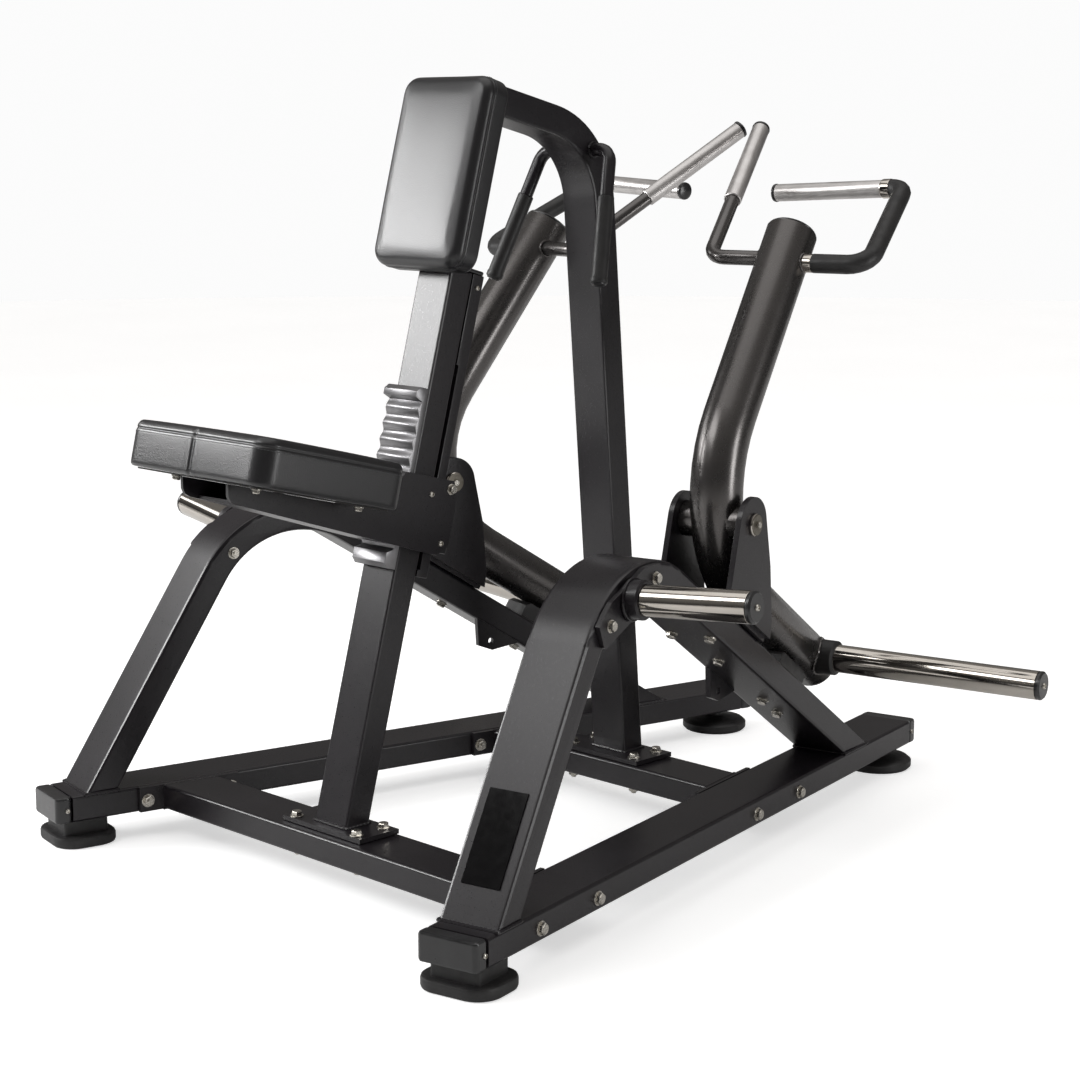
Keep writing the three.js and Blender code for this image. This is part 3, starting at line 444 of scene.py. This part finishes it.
class Maker:
    """Collects rings of points, turned and swept shapes into one mesh piece."""

    def __init__(self):
        self.verts = []
        self.faces = []

    def rings(self, rings, closed_path=False):
        base = len(self.verts)
        count = len(rings[0])
        for ring in rings:
            self.verts.extend(ring)
        total = len(rings)
        for i in range(total if closed_path else total - 1):
            for k in range(count):
                a = base + i * count + k
                b = base + i * count + (k + 1) % count
                c = base + ((i + 1) % total) * count + (k + 1) % count
                d = base + ((i + 1) % total) * count + k
                self.faces.append((a, b, c, d))
        if not closed_path:
            self.faces.append(tuple(base + k for k in reversed(range(count))))
            self.faces.append(tuple(base + (total - 1) * count + k for k in range(count)))
        return self

    def turned(self, profile, origin, axis, segments=32, spin=0.0):
        """A turned shape: profile is (radius, distance along the axis) from its base to its top."""
        turn = axis.to_track_quat("Z", "Y").to_matrix()
        rings = []
        for radius, reach in profile:
            radius = max(radius, NEARLY_NOTHING)
            ring = []
            for k in range(segments):
                angle = spin + 2 * math.pi * k / segments
                spot = Vector((radius * math.cos(angle), radius * math.sin(angle), reach))
                ring.append(origin + turn @ spot)
            rings.append(ring)
        return self.rings(rings)

    def swept(self, points, radius, segments, closed=False, ripple=0.0):
        """A round section along a line of points, its size rippling where ripple is above zero."""
        rings = []
        total = len(points)
        for i, point in enumerate(points):
            before = points[i - 1] if i or closed else points[i]
            after = points[(i + 1) % total] if i + 1 < total or closed else points[i]
            axis = (after - before).normalized()
            turn = axis.to_track_quat("Z", "Y").to_matrix()
            size = radius * (1 + ripple * math.sin(i * 2.1))
            rings.append([point + turn @ Vector((size * math.cos(2 * math.pi * k / segments),
                                                 size * math.sin(2 * math.pi * k / segments), 0))
                          for k in range(segments)])
        return self.rings(rings, closed)

    def weld(self, points, radius, closed=True, ripple=BEAD_RIPPLE):
        """A weld bead along a line of points."""
        return self.swept(points, radius, 8, closed, ripple)

    def mesh(self, name):
        mesh = bpy.data.meshes.new(name)
        mesh.from_pydata([tuple(v) for v in self.verts], [], self.faces)
        return mesh

    def piece(self, name, material, body):
        """The collected shapes as one visible piece that rides on a body."""
        mesh = self.mesh(name)
        bm = bmesh.new()
        bm.from_mesh(mesh)
        bmesh.ops.recalc_face_normals(bm, faces=bm.faces)
        bm.to_mesh(mesh)
        bm.free()
        mesh.materials.append(M[material])
        obj = in_scene(name, mesh)
        shade(obj)
        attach(obj, body)


def hex_bolt(maker, origin, axis, size=0.0095, washer=True, tail=False):
    """A hexagon head on a washer, or with tail a nut with the bolt's end showing. Size is its radius."""
    base = 0.0
    if washer:
        maker.turned([(0, -0.0004), (size * 1.25, -0.0004), (size * 1.25, 0.0016),
                      (size * 1.19, 0.0021), (0, 0.0021)], origin, axis, 32)
        base = 0.0021
    top = base + size * 0.72
    maker.turned([(0, base - 0.0002), (size, base - 0.0002), (size, top - 0.0011),
                  (size * 0.9, top), (0, top)], origin, axis, 6, spin=0.35)
    if tail:
        maker.turned([(0, top - 0.001), (size * 0.5, top - 0.001), (size * 0.5, top + 0.003),
                      (size * 0.42, top + 0.0038), (0, top + 0.0038)], origin, axis, 20)
    else:
        maker.turned([(0, top - 0.0002), (size * 0.82, top - 0.0002), (size * 0.78, top + 0.0005),
                      (0, top + 0.0005)], origin, axis, 28)


def round_screw(maker, origin, axis, size):
    """A pan head with a sunk hexagon socket."""
    maker.turned([(0, -0.0005), (size, -0.0005), (size, 0.0012), (size * 0.86, 0.0028),
                  (size * 0.6, 0.0034), (size * 0.52, 0.0034), (size * 0.46, 0.0012), (0, 0.0010)],
                 origin, axis, 24)


def circle(origin, axis, radius, count):
    turn = axis.to_track_quat("Z", "Y").to_matrix()
    angles = [2 * math.pi * k / count for k in range(count)]
    return [origin + turn @ Vector((radius * math.cos(a), radius * math.sin(a), 0)) for a in angles]


def loop_through(corners):
    """Even points round a closed polygon."""
    points = []
    for i, a in enumerate(corners):
        b = corners[(i + 1) % len(corners)]
        count = max(1, round((b - a).length / BEAD_STEP))
        points.extend(a.lerp(b, k / count) for k in range(count))
    return points


def line_through(a, b):
    """Even points from one place to another, both ends included."""
    count = max(2, round((b - a).length / BEAD_STEP))
    return [a.lerp(b, k / count) for k in range(count + 1)]


# ------------------------------------------------------------------ padded pieces
CORNER_STEPS = 24


def rounded_loop(half_x, half_y, radius, count):
    """Evenly spaced points round a rounded rectangle, starting at its right side's upper end."""
    radius = min(radius, half_x, half_y)
    dense = []
    for cx, cy, start in ((half_x - radius, half_y - radius, 0), (radius - half_x, half_y - radius, 90),
                          (radius - half_x, radius - half_y, 180),
                          (half_x - radius, radius - half_y, 270)):
        for k in range(CORNER_STEPS + 1):
            angle = math.radians(start + 90 / CORNER_STEPS * k)
            dense.append(Vector((cx + radius * math.cos(angle), cy + radius * math.sin(angle))))
    lengths = [0.0]
    for i in range(len(dense)):
        lengths.append(lengths[-1] + (dense[(i + 1) % len(dense)] - dense[i]).length)
    points, i = [], 0
    for k in range(count):
        reach = lengths[-1] * k / count
        while lengths[i + 1] < reach:
            i += 1
        part = (reach - lengths[i]) / max(lengths[i + 1] - lengths[i], 1e-9)
        points.append(dense[i].lerp(dense[(i + 1) % len(dense)], part))
    return points


CLOTH_FRAMES = 20
TIGHTENING_PASSES = 60
MOST_SWELL = 0.0035                    # the furthest that a point may move


def blow_up(cushion, held):
    """Blows the cushion up as cloth with some vertices held, and caps how far a point moves."""
    start = [v.co.copy() for v in cushion.data.vertices]
    group = cushion.vertex_groups.new(name="held")
    group.add(held, 1.0, "REPLACE")
    cloth = cushion.modifiers.new("cloth", "CLOTH")
    settings = cloth.settings
    settings.use_pressure = True
    settings.uniform_pressure_force = 3.0
    settings.effector_weights.gravity = 0.0
    settings.vertex_group_mass = "held"
    settings.tension_stiffness = 20
    settings.compression_stiffness = 20
    settings.bending_stiffness = 0.6
    settings.quality = 6
    cloth.collision_settings.use_collision = False
    scene = bpy.context.scene
    for number in range(1, CLOTH_FRAMES + 1):
        scene.frame_set(number)
    depsgraph = bpy.context.evaluated_depsgraph_get()
    swollen = [v.co.copy() for v in cushion.evaluated_get(depsgraph).data.vertices]
    cushion.modifiers.remove(cloth)
    scene.frame_set(1)
    # The skin is stretched tight: small wrinkles are averaged away between neighbours.
    moves = [b - a for a, b in zip(start, swollen)]
    pairs = [tuple(edge.vertices) for edge in cushion.data.edges]
    fixed = set(held)
    for _ in range(TIGHTENING_PASSES):
        total = [move.copy() for move in moves]
        count = [1] * len(moves)
        for i, j in pairs:
            total[i] += moves[j]
            total[j] += moves[i]
            count[i] += 1
            count[j] += 1
        moves = [Vector() if k in fixed else total[k] / count[k] for k in range(len(moves))]
    for vertex, a, move in zip(cushion.data.vertices, start, moves):
        if move.length > MOST_SWELL:
            move *= MOST_SWELL / move.length
        vertex.co = a + move


BEFORE_SWELLING = 0.0012               # how far each side starts inside its final place
CLOTH_CELL = 0.0058                    # width of one face round the cushion
LOWER_EDGE = 0.006                     # radius where the side panel turns under the board
PANEL_STEPS = 15
SIDE_STEPS = 8
STITCH_PITCH = 0.0052                  # spacing of the stitches below the seam
ROW_PITCH = 0.0048                     # spacing of the stitches down a twin seam
ROW_BELOW_SEAM = 0.0052
THREAD_RADIUS = 0.00055


def upholstered(node, name, body, across, along, out, size, corner, edge, crown, side_seams=()):
    """A boxed cushion: a face panel and a side panel sewn together, blown up as cloth over its board.

    side_seams gives the place, across the cushion, of each twin seam down its front side.
    """
    low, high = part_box(node)
    centre = (low + high) / 2
    local = Matrix((across, along, out))
    world = local.transposed()
    half_x, half_y = size[0] / 2 - BEFORE_SWELLING, size[1] / 2 - BEFORE_SWELLING
    half_z = size[2] / 2 - 0.0001
    count = round(2 * (half_x + half_y) * 2 / CLOTH_CELL)
    seam = half_z - edge - 0.0015
    rows, seam_rows = [], []

    def add(inset, z, scale=1.0, sewn=False):
        if sewn:
            seam_rows.append(len(rows))
        rows.append([Vector((p.x * scale, p.y * scale, z)) for p in
                     rounded_loop(half_x - inset, half_y - inset, max(corner - inset, 0.004), count)])

    # Rings from the middle of the underside, out and up the side, over the seam and in to the top.
    for k in range(1, PANEL_STEPS + 1):
        add(LOWER_EDGE, -half_z, k / PANEL_STEPS)
    for angle in (30, 60, 90):
        a = math.radians(angle)
        add(LOWER_EDGE * (1 - math.sin(a)), -half_z + LOWER_EDGE * (1 - math.cos(a)))
    bottom = -half_z + LOWER_EDGE
    for k in range(1, SIDE_STEPS + 1):
        add(0, bottom + (seam - 0.0045 - bottom) * k / SIDE_STEPS)
    for inset, drop in ((0.0002, 0.0026), (0.0008, 0.0012), (0.0017, 0.0), (0.0008, -0.0012),
                        (0.0002, -0.0026)):
        add(inset, seam - drop, sewn=drop == 0.0)
    for angle in (20, 40, 60, 80):
        a = math.radians(angle)
        add(edge * (1 - math.cos(a)), half_z - edge + edge * math.sin(a) - 0.0009 * math.cos(a))
    for k in range(1, PANEL_STEPS + 4):
        add(edge, half_z, 1 - k / (PANEL_STEPS + 4))
    verts = [p for row in rows for p in row]
    faces = []
    for i in range(len(rows) - 1):
        for k in range(count):
            n = (k + 1) % count
            faces.append((i * count + k, i * count + n, (i + 1) * count + n, (i + 1) * count + k))
    for row, z in ((0, -half_z), (len(rows) - 1, half_z)):
        verts.append(Vector((0, 0, z)))
        for k in range(count):
            n = (k + 1) % count
            spoke = (row * count + n, row * count + k, len(verts) - 1)
            faces.append(spoke if row == 0 else tuple(reversed(spoke)))
    # The face is fullest in the middle, and its stuffing thins out towards the seam.
    for p in verts:
        if p.z > half_z - 0.001:
            p.z += crown * (max(0, 1 - (p.x / half_x) ** 4) * max(0, 1 - (p.y / half_y) ** 4) - 0.7)
    mesh = bpy.data.meshes.new(name)
    mesh.from_pydata([tuple(centre + world @ p) for p in verts], [], faces)
    cushion = in_scene(name, mesh)
    bpy.context.view_layer.objects.active = cushion
    # The underside and the seam are held, the rest is free to swell.
    flat_rows = range(PANEL_STEPS + 3)
    held = [r * count + k for r in [*flat_rows, *seam_rows] for k in range(count)] + [len(rows) * count]
    blow_up(cushion, held)
    divide = cushion.modifiers.new("divide", "SUBSURF")
    divide.levels = divide.render_levels = 1
    depsgraph = bpy.context.evaluated_depsgraph_get()
    cushion.data = bpy.data.meshes.new_from_object(cushion.evaluated_get(depsgraph))
    cushion.modifiers.clear()
    mesh = cushion.data
    # Each twin seam pulls a groove into the front side, with the leather full beside it.
    for v in mesh.vertices:
        p = local @ (v.co - centre)
        for x in side_seams:
            if p.y < -half_y + 0.02 and p.z < half_z - 0.004:
                groove = math.exp(-((p.x - x) / 0.0022) ** 2)
                puff = math.exp(-((abs(p.x - x) - 0.009) / 0.006) ** 2)
                p.y += 0.0020 * groove - 0.0006 * puff
        v.co = centre + world @ p
    mesh.materials.clear()
    mesh.materials.append(M["leather"])
    for polygon in mesh.polygons:
        polygon.use_smooth = True
    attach(cushion, body)
    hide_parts(node)
    tree = BVHTree.FromPolygons([v.co for v in mesh.vertices], [p.vertices for p in mesh.polygons])

    def on_skin(place, aim):
        """Where a ray from a place meets the skin, and the skin's normal there."""
        hit = tree.ray_cast(centre + world @ place, (world @ aim).normalized())
        return (hit[0], hit[1]) if hit[0] is not None else (None, None)

    stitches = Maker()

    def sew(points, long):
        """A stitch of some length between each two places on the skin."""
        for (a, normal), (b, _) in zip(points, points[1:]):
            if a is None or b is None:
                continue
            way = (b - a).normalized()
            middle = (a + b) / 2 + normal * 0.0002
            stitches.swept([middle - way * long / 2, middle - way * long * 0.3 + normal * 0.0003,
                            middle + way * long * 0.3 + normal * 0.0003, middle + way * long / 2],
                           THREAD_RADIUS, 6)

    ring = rounded_loop(half_x, half_y, corner, round(2 * (half_x + half_y) * 2 / STITCH_PITCH))
    ring.append(ring[0])
    middle = Vector((0, 0, seam - ROW_BELOW_SEAM))
    line = []
    for p in ring:
        inward = Vector((-p.x, -p.y, 0)).normalized()
        core = Vector((max(min(p.x, half_x - corner), corner - half_x),
                       max(min(p.y, half_y - corner), corner - half_y), 0))
        flat = Vector((p.x, p.y, 0))
        normal = (flat - core).normalized() if (flat - core).length > 1e-6 else -inward
        line.append(on_skin(flat + normal * 0.03 + middle, -normal))
    sew(line, 0.0034)
    for x in side_seams:
        for shift in (-0.0042, 0.0042):
            number = round((seam + half_z - 0.014) / ROW_PITCH)
            places = [Vector((x + shift, -half_y - 0.04, -half_z + 0.008 + ROW_PITCH * k))
                      for k in range(number)]
            sew([on_skin(place, Vector((0, 1, 0))) for place in places], 0.0031)
    stitches.piece(name + "_stitches", "thread", body)


X_AXIS = Vector((1, 0, 0))
upholstered("chest_pad", "chest_pad_cover", "base_frame", X_AXIS, POST_UP, -POST_BACK, (0.210, 0.321, 0.053),
            0.030, 0.017, 0.0035)
seat_back = Vector((0, math.cos(SEAT_TILT), -math.sin(SEAT_TILT)))
seat_up = Vector((0, math.sin(SEAT_TILT), math.cos(SEAT_TILT)))
upholstered("seat_cushion", "seat_cover", "seat_assembly", X_AXIS, seat_back, seat_up, (0.344, 0.295, 0.073),
            0.030, 0.011, 0.003, side_seams=(0.0,))

# ------------------------------------------------------------------ bolts and welds on the base
BASE = "base_frame"
SIDES = [(sg, SIDE_NAME[sg], side_dir(sg, 0, 1, 0)) for sg in (RIGHT, LEFT)]
FACE = 0.0530                          # outer and inner faces of the rails and arches, from the middle
ARCH_BOLT, PLATE_BOLT, BRACKET_BOLT = 0.0085, 0.0092, 0.0088
CAP_SCREW = 0.0045
SLOPE = math.tan(REAR_SLOPE)


def on_rear_tube(sg, along, across, up_at_one):
    """A point on a face of the sloping rear tube, whose height one metre along the rail is given."""
    return side_point(sg, along, across, up_at_one - SLOPE * (along - 1.0))


for sg, side, out in SIDES:
    # Through bolts of the cross members, of the storage horn's flange and under the lever bracket.
    bolts = Maker()
    for along in (0.165, 0.325, 0.847, 1.007):
        hex_bolt(bolts, side_point(sg, along, FACE, 0.066), out)
        hex_bolt(bolts, side_point(sg, along, -0.0612, 0.066), -out, tail=True)
    for along, up in ((0.344, 0.487), (0.477, 0.539)):
        hex_bolt(bolts, side_point(sg, along, 0.0615, up), out, ARCH_BOLT)
        hex_bolt(bolts, side_point(sg, along, -FACE, up), -out, ARCH_BOLT, tail=True)
    under = side_dir(sg, -math.sin(REAR_SLOPE), 0, -math.cos(REAR_SLOPE))
    for along, across in ((0.702, 0.036), (0.702, -0.036), (0.800, 0), (0.963, 0), (1.020, 0)):
        hex_bolt(bolts, on_rear_tube(sg, along, across, 0.2135), under, BRACKET_BOLT)
    bolts.piece("frame_bolts_" + side, "zinc", BASE)
    screws = Maker()
    for along in (0.020, 1.494):
        for way in (1, -1):
            round_screw(screws, side_point(sg, along, FACE * way, 0.068), out * way, CAP_SCREW)
    screws.piece("cap_screws_" + side, "zinc", BASE)

    # Welds round the arch's feet on the rail, then along the foot of the lever bracket's plates.
    beads = Maker()
    top = 0.0915
    for near, far in ((0.0548, 0.1148), (1.1952, 1.2900)):
        beads.weld(loop_through([side_point(sg, near, -0.052, top), side_point(sg, far, -0.052, top),
                                 side_point(sg, far, 0.052, top), side_point(sg, near, 0.052, top)]), 0.0034)
    above = 0.2732 + 0.0135 / math.cos(REAR_SLOPE)
    for across in (0.0585, -0.0585):
        beads.weld(line_through(*(on_rear_tube(sg, along, across, above) for along in (0.706, 0.842))),
                   0.0032, closed=False)
    beads.piece("frame_welds_" + side, "frame", BASE)

# Where the cross members' end plates meet the rails.
beads = Maker()
for along in (0.2454, 0.9273):
    for sg in (RIGHT, LEFT):
        for level in (0.0475, 0.0885):
            beads.weld(line_through(side_point(sg, along - 0.052, -0.0622, level),
                                    side_point(sg, along + 0.052, -0.0622, level)), 0.0028, closed=False)
beads.piece("cross_member_welds", "frame", BASE)

# The foot plates of the seat post and the upright, each welded round its tube and held by four bolts.
beads = Maker()
half, level = 0.0395, 0.1000
for y0, y1 in ((0.2138, 0.2652), (0.8795, 0.9295)):
    beads.weld(loop_through([machine_point(-half, y0, level), machine_point(half, y0, level),
                             machine_point(half, y1, level), machine_point(-half, y1, level)]), 0.0032)
beads.piece("foot_welds", "frame", BASE)
UP, DOWN = Vector((0, 0, 1)), Vector((0, 0, -1))
bolts = Maker()
for x in (-0.076, 0.076):
    for y in (0.2060, 0.2640, 0.8660, 0.9260):
        hex_bolt(bolts, machine_point(x, y, 0.0992), UP, PLATE_BOLT)
        hex_bolt(bolts, machine_point(x, y, 0.0458), DOWN, PLATE_BOLT, tail=True)
bolts.piece("plate_bolts", "zinc", BASE)

# ------------------------------------------------------------------ seat post and side grips
screws = Maker()
for sg in (RIGHT, LEFT):
    round_screw(screws, post_point(sg * 0.0400, 0.063, 0.912), X_AXIS * sg, CAP_SCREW)
screws.piece("post_screws", "zinc", BASE)

for sg, side, out in SIDES:
    elbow = machine_point(sg * 0.080, 0.791, 1.188)
    tip = machine_point(sg * 0.127, 0.714, 0.968)
    cap = Maker()
    cap.turned([(0, 0.0038), (0.0122, 0.0038), (0.0116, 0.0056), (0.0072, 0.0068), (0, 0.0070)],
               tip, (tip - elbow).normalized(), 32)
    cap.piece("side_grip_cap_" + side, "plastic", BASE)
    bead = Maker()
    bead.weld(circle(machine_point(sg * 0.0412, 0.791, 1.188), X_AXIS * sg, 0.0122, 32), 0.0026)
    bead.piece("side_rod_weld_" + side, "frame", BASE)

# ------------------------------------------------------------------ storage horns and pivots
HORN_TILT = math.radians(3)
HORN_SCREW = 0.0055
for sg, side, out in SIDES:
    horn_axis = side_dir(sg, 0, math.cos(HORN_TILT), math.sin(HORN_TILT))
    store = side_point(sg, 0.407, 0, 0.514)
    screw = Maker()
    round_screw(screw, store + horn_axis * 0.2750, horn_axis, HORN_SCREW)
    screw.piece("storage_horn_screw_" + side, "zinc", BASE)
    bead = Maker()
    bead.weld(circle(store + horn_axis * 0.0640, horn_axis, 0.0318, 72), 0.0026)
    bead.piece("storage_collar_weld_" + side, "frame", BASE)

    pivot = side_point(sg, PIVOT_ALONG, 0, PIVOT_UP)
    studs = Maker()
    discs = Maker()
    for way in (1, -1):
        discs.turned([(0, 0.0749), (0.0174, 0.0749), (0.0174, 0.0756), (0.0166, 0.0762), (0, 0.0762)],
                     pivot, out * way, 40)
        hex_bolt(studs, pivot + out * (way * 0.0760), out * way, 0.0062, washer=False)
    discs.piece("pivot_discs_" + side, "bronze", BASE)
    studs.piece("pivot_studs_" + side, "zinc", BASE)


# ------------------------------------------------------------------ levers, their horns and handles
def node_axis_end(node, along):
    """The middle of a node's vertices that lie furthest along a direction."""
    points = [v.co for v in NODES[node].data.vertices]
    most = max(p.dot(along) for p in points)
    near = [p for p in points if p.dot(along) > most - 0.0006]
    total = Vector((0, 0, 0))
    for p in near:
        total += p
    return total / len(near)


OUTER_GRIP_LENGTH = 0.220
for sg, side, out in SIDES:
    arm = ARM[sg]
    screw = Maker()
    round_screw(screw, node_axis_end("load_horn_cap_" + side, out), out, HORN_SCREW)
    screw.piece("load_horn_screw_" + side, "zinc", arm)

    inner_tip = side_point(sg, 1.331, -0.214, 1.223)
    inner_way = (inner_tip - side_point(sg, INNER_ROOT[0], -0.143, INNER_ROOT[1])).normalized()
    outer_tip = side_point(sg, 1.258, -0.139, 1.109)
    outer_corner = side_point(sg, 1.236, 0.121, 1.121)
    outer_way = (outer_tip - outer_corner).normalized()
    ends = Maker()
    for tip, way in ((inner_tip, inner_way), (outer_tip, outer_way)):
        ends.turned([(0, -0.004), (0.0124, -0.004), (0.0124, 0.0004), (0.0164, 0.0004), (0.0167, 0.0020),
                     (0.0161, 0.0046), (0.0124, 0.0066), (0, 0.0074)], tip, way, 36)
    ends.piece("grip_ends_" + side, "plastic", arm)

    # One ring closes the aluminium grip, the other the rubber sleeve where the handle leaves the lever.
    rings = Maker()
    reach = (outer_tip - outer_corner).length
    grip_start = outer_corner + outer_way * (reach - OUTER_GRIP_LENGTH)
    rings.turned([(0.0132, -0.0165), (0.0170, -0.0165), (0.0173, -0.0150), (0.0173, -0.0012),
                  (0.0170, -0.0002), (0.0132, -0.0002)], grip_start, outer_way, 36)
    root = side_point(sg, OUTER_ROOT[0], 0, OUTER_ROOT[1])
    rings.turned([(0.0131, 0.0450), (0.0158, 0.0450), (0.0162, 0.0462), (0.0162, 0.0590),
                  (0.0158, 0.0602), (0.0131, 0.0602)], root, out, 36)
    rings.piece("outer_grip_rings_" + side, "chrome", arm)

    beads = Maker()
    beads.weld(saddle(sg, INNER_ROOT, LEVER_RISE, -1, 0.0145), 0.0022)
    beads.weld(saddle(sg, OUTER_ROOT, LEVER_RISE, 1, 0.0160), 0.0022)
    beads.weld(saddle(sg, HORN_ROOT, -REAR_SLOPE, 1, 0.0322), 0.0028, ripple=0.12)
    beads.piece("lever_welds_" + side, "lever", arm)

# ------------------------------------------------------------------ seat carriage hardware
hardware = Maker()
CHEEK = 0.0600                         # outer face of the carriage's side plates
for sg in (RIGHT, LEFT):
    hex_bolt(hardware, machine_point(sg * CHEEK, 0.434, 0.6375), X_AXIS * sg, 0.0075)
    for y, z in ((0.390, 0.634), (0.409, 0.550)):
        round_screw(hardware, machine_point(sg * CHEEK, y, z), X_AXIS * sg, 0.0050)
    for y in (0.000, 0.200):
        z = 0.707 - (y - 0.102) * math.tan(SEAT_TILT) - 0.0418 / math.cos(SEAT_TILT)
        hex_bolt(hardware, machine_point(sg * 0.100, y, z), -seat_up, 0.0065)
hardware.piece("seat_bolts", "zinc", "seat_assembly")

# ------------------------------------------------------------------ studio
FLOOR_RADIUS, FLOOR_THICKNESS = 14, 0.02
disc = Maker().rings([circle(Vector((0, 0, z)), UP, FLOOR_RADIUS, 96) for z in (-FLOOR_THICKNESS, 0.0)])
mesh = disc.mesh("floor")
mesh.materials.append(studio_floor())
floor = in_scene("floor", mesh)


def softbox(name, place, target, width, height, power):
    """A rectangular area light at a place, aimed at a target."""
    light = bpy.data.lights.new(name, "AREA")
    light.shape = "RECTANGLE"
    light.size, light.size_y = width, height
    light.energy = power
    obj = in_scene(name, light)
    obj.location = place
    obj.rotation_euler = (Vector(target) - Vector(place)).to_track_quat("-Z", "Y").to_euler()


softbox("front_left", (-3.40, -3.03, 2.21), (0.04, -0.37, 1.14), 2.0, 1.05, 132)
softbox("upper_front", (-0.95, -3.00, 3.35), (0, -0.3, 0.75), 2.6, 1.3, 45)
softbox("left_fill", (-4.2, -1.3, 2.3), (0, 0, 0.5), 1.2, 1.4, 14)
softbox("right_rim", (4.0, 1.1, 1.0), (0, 0, 0.9), 0.9, 1.7, 34)

top_light = bpy.data.lights.new("top_light", "SUN")
top_light.energy = 0.85
top_light.angle = math.radians(70)
top = in_scene("top_light", top_light)

# The room is dark at eye level and a little brighter overhead; the camera itself sees plain white.
world = bpy.data.worlds.new("studio")
bpy.context.scene.world = world
world.use_nodes = True
tree = world.node_tree
background = tree.nodes["Background"]
coords = tree.nodes.new("ShaderNodeTexCoord")
split = tree.nodes.new("ShaderNodeSeparateXYZ")
tree.links.new(coords.outputs["Generated"], split.inputs[0])
ramp = tree.nodes.new("ShaderNodeValToRGB")
stops = ramp.color_ramp.elements
for position, colour in ((0.0, (0.05, 0.049, 0.048)), (0.25, (0.06, 0.058, 0.056)),
                         (0.60, (0.22, 0.21, 0.20)), (1.0, (0.36, 0.345, 0.33))):
    stop = stops.new(position) if 0 < position < 1 else stops[round(position)]
    stop.position = position
    stop.color = (*colour, 1)
tree.links.new(split.outputs["Z"], ramp.inputs["Fac"])
tree.links.new(ramp.outputs["Color"], background.inputs["Color"])
seen = tree.nodes.new("ShaderNodeBackground")
seen.inputs["Color"].default_value = (0.97, 0.97, 0.97, 1)
paths = tree.nodes.new("ShaderNodeLightPath")
either = tree.nodes.new("ShaderNodeMixShader")
tree.links.new(paths.outputs["Is Camera Ray"], either.inputs["Fac"])
tree.links.new(background.outputs[0], either.inputs[1])
tree.links.new(seen.outputs[0], either.inputs[2])
tree.links.new(either.outputs[0], tree.nodes["World Output"].inputs["Surface"])

# ------------------------------------------------------------------ camera
camera_data = bpy.data.cameras.new("camera")
camera_data.lens = 75.4
camera_data.sensor_width = 36
camera = in_scene("camera", camera_data)
camera.location = machine_point(2.7682, -2.0674, 1.2022)
azimuth, elevation = math.radians(45), math.radians(10)
looking = Vector((-math.cos(elevation) * math.sin(azimuth), math.cos(elevation) * math.cos(azimuth),
                  -math.sin(elevation)))
camera.rotation_euler = looking.to_track_quat("-Z", "Y").to_euler()
bpy.context.scene.camera = camera
bpy.context.scene.view_settings.view_transform = "Standard"
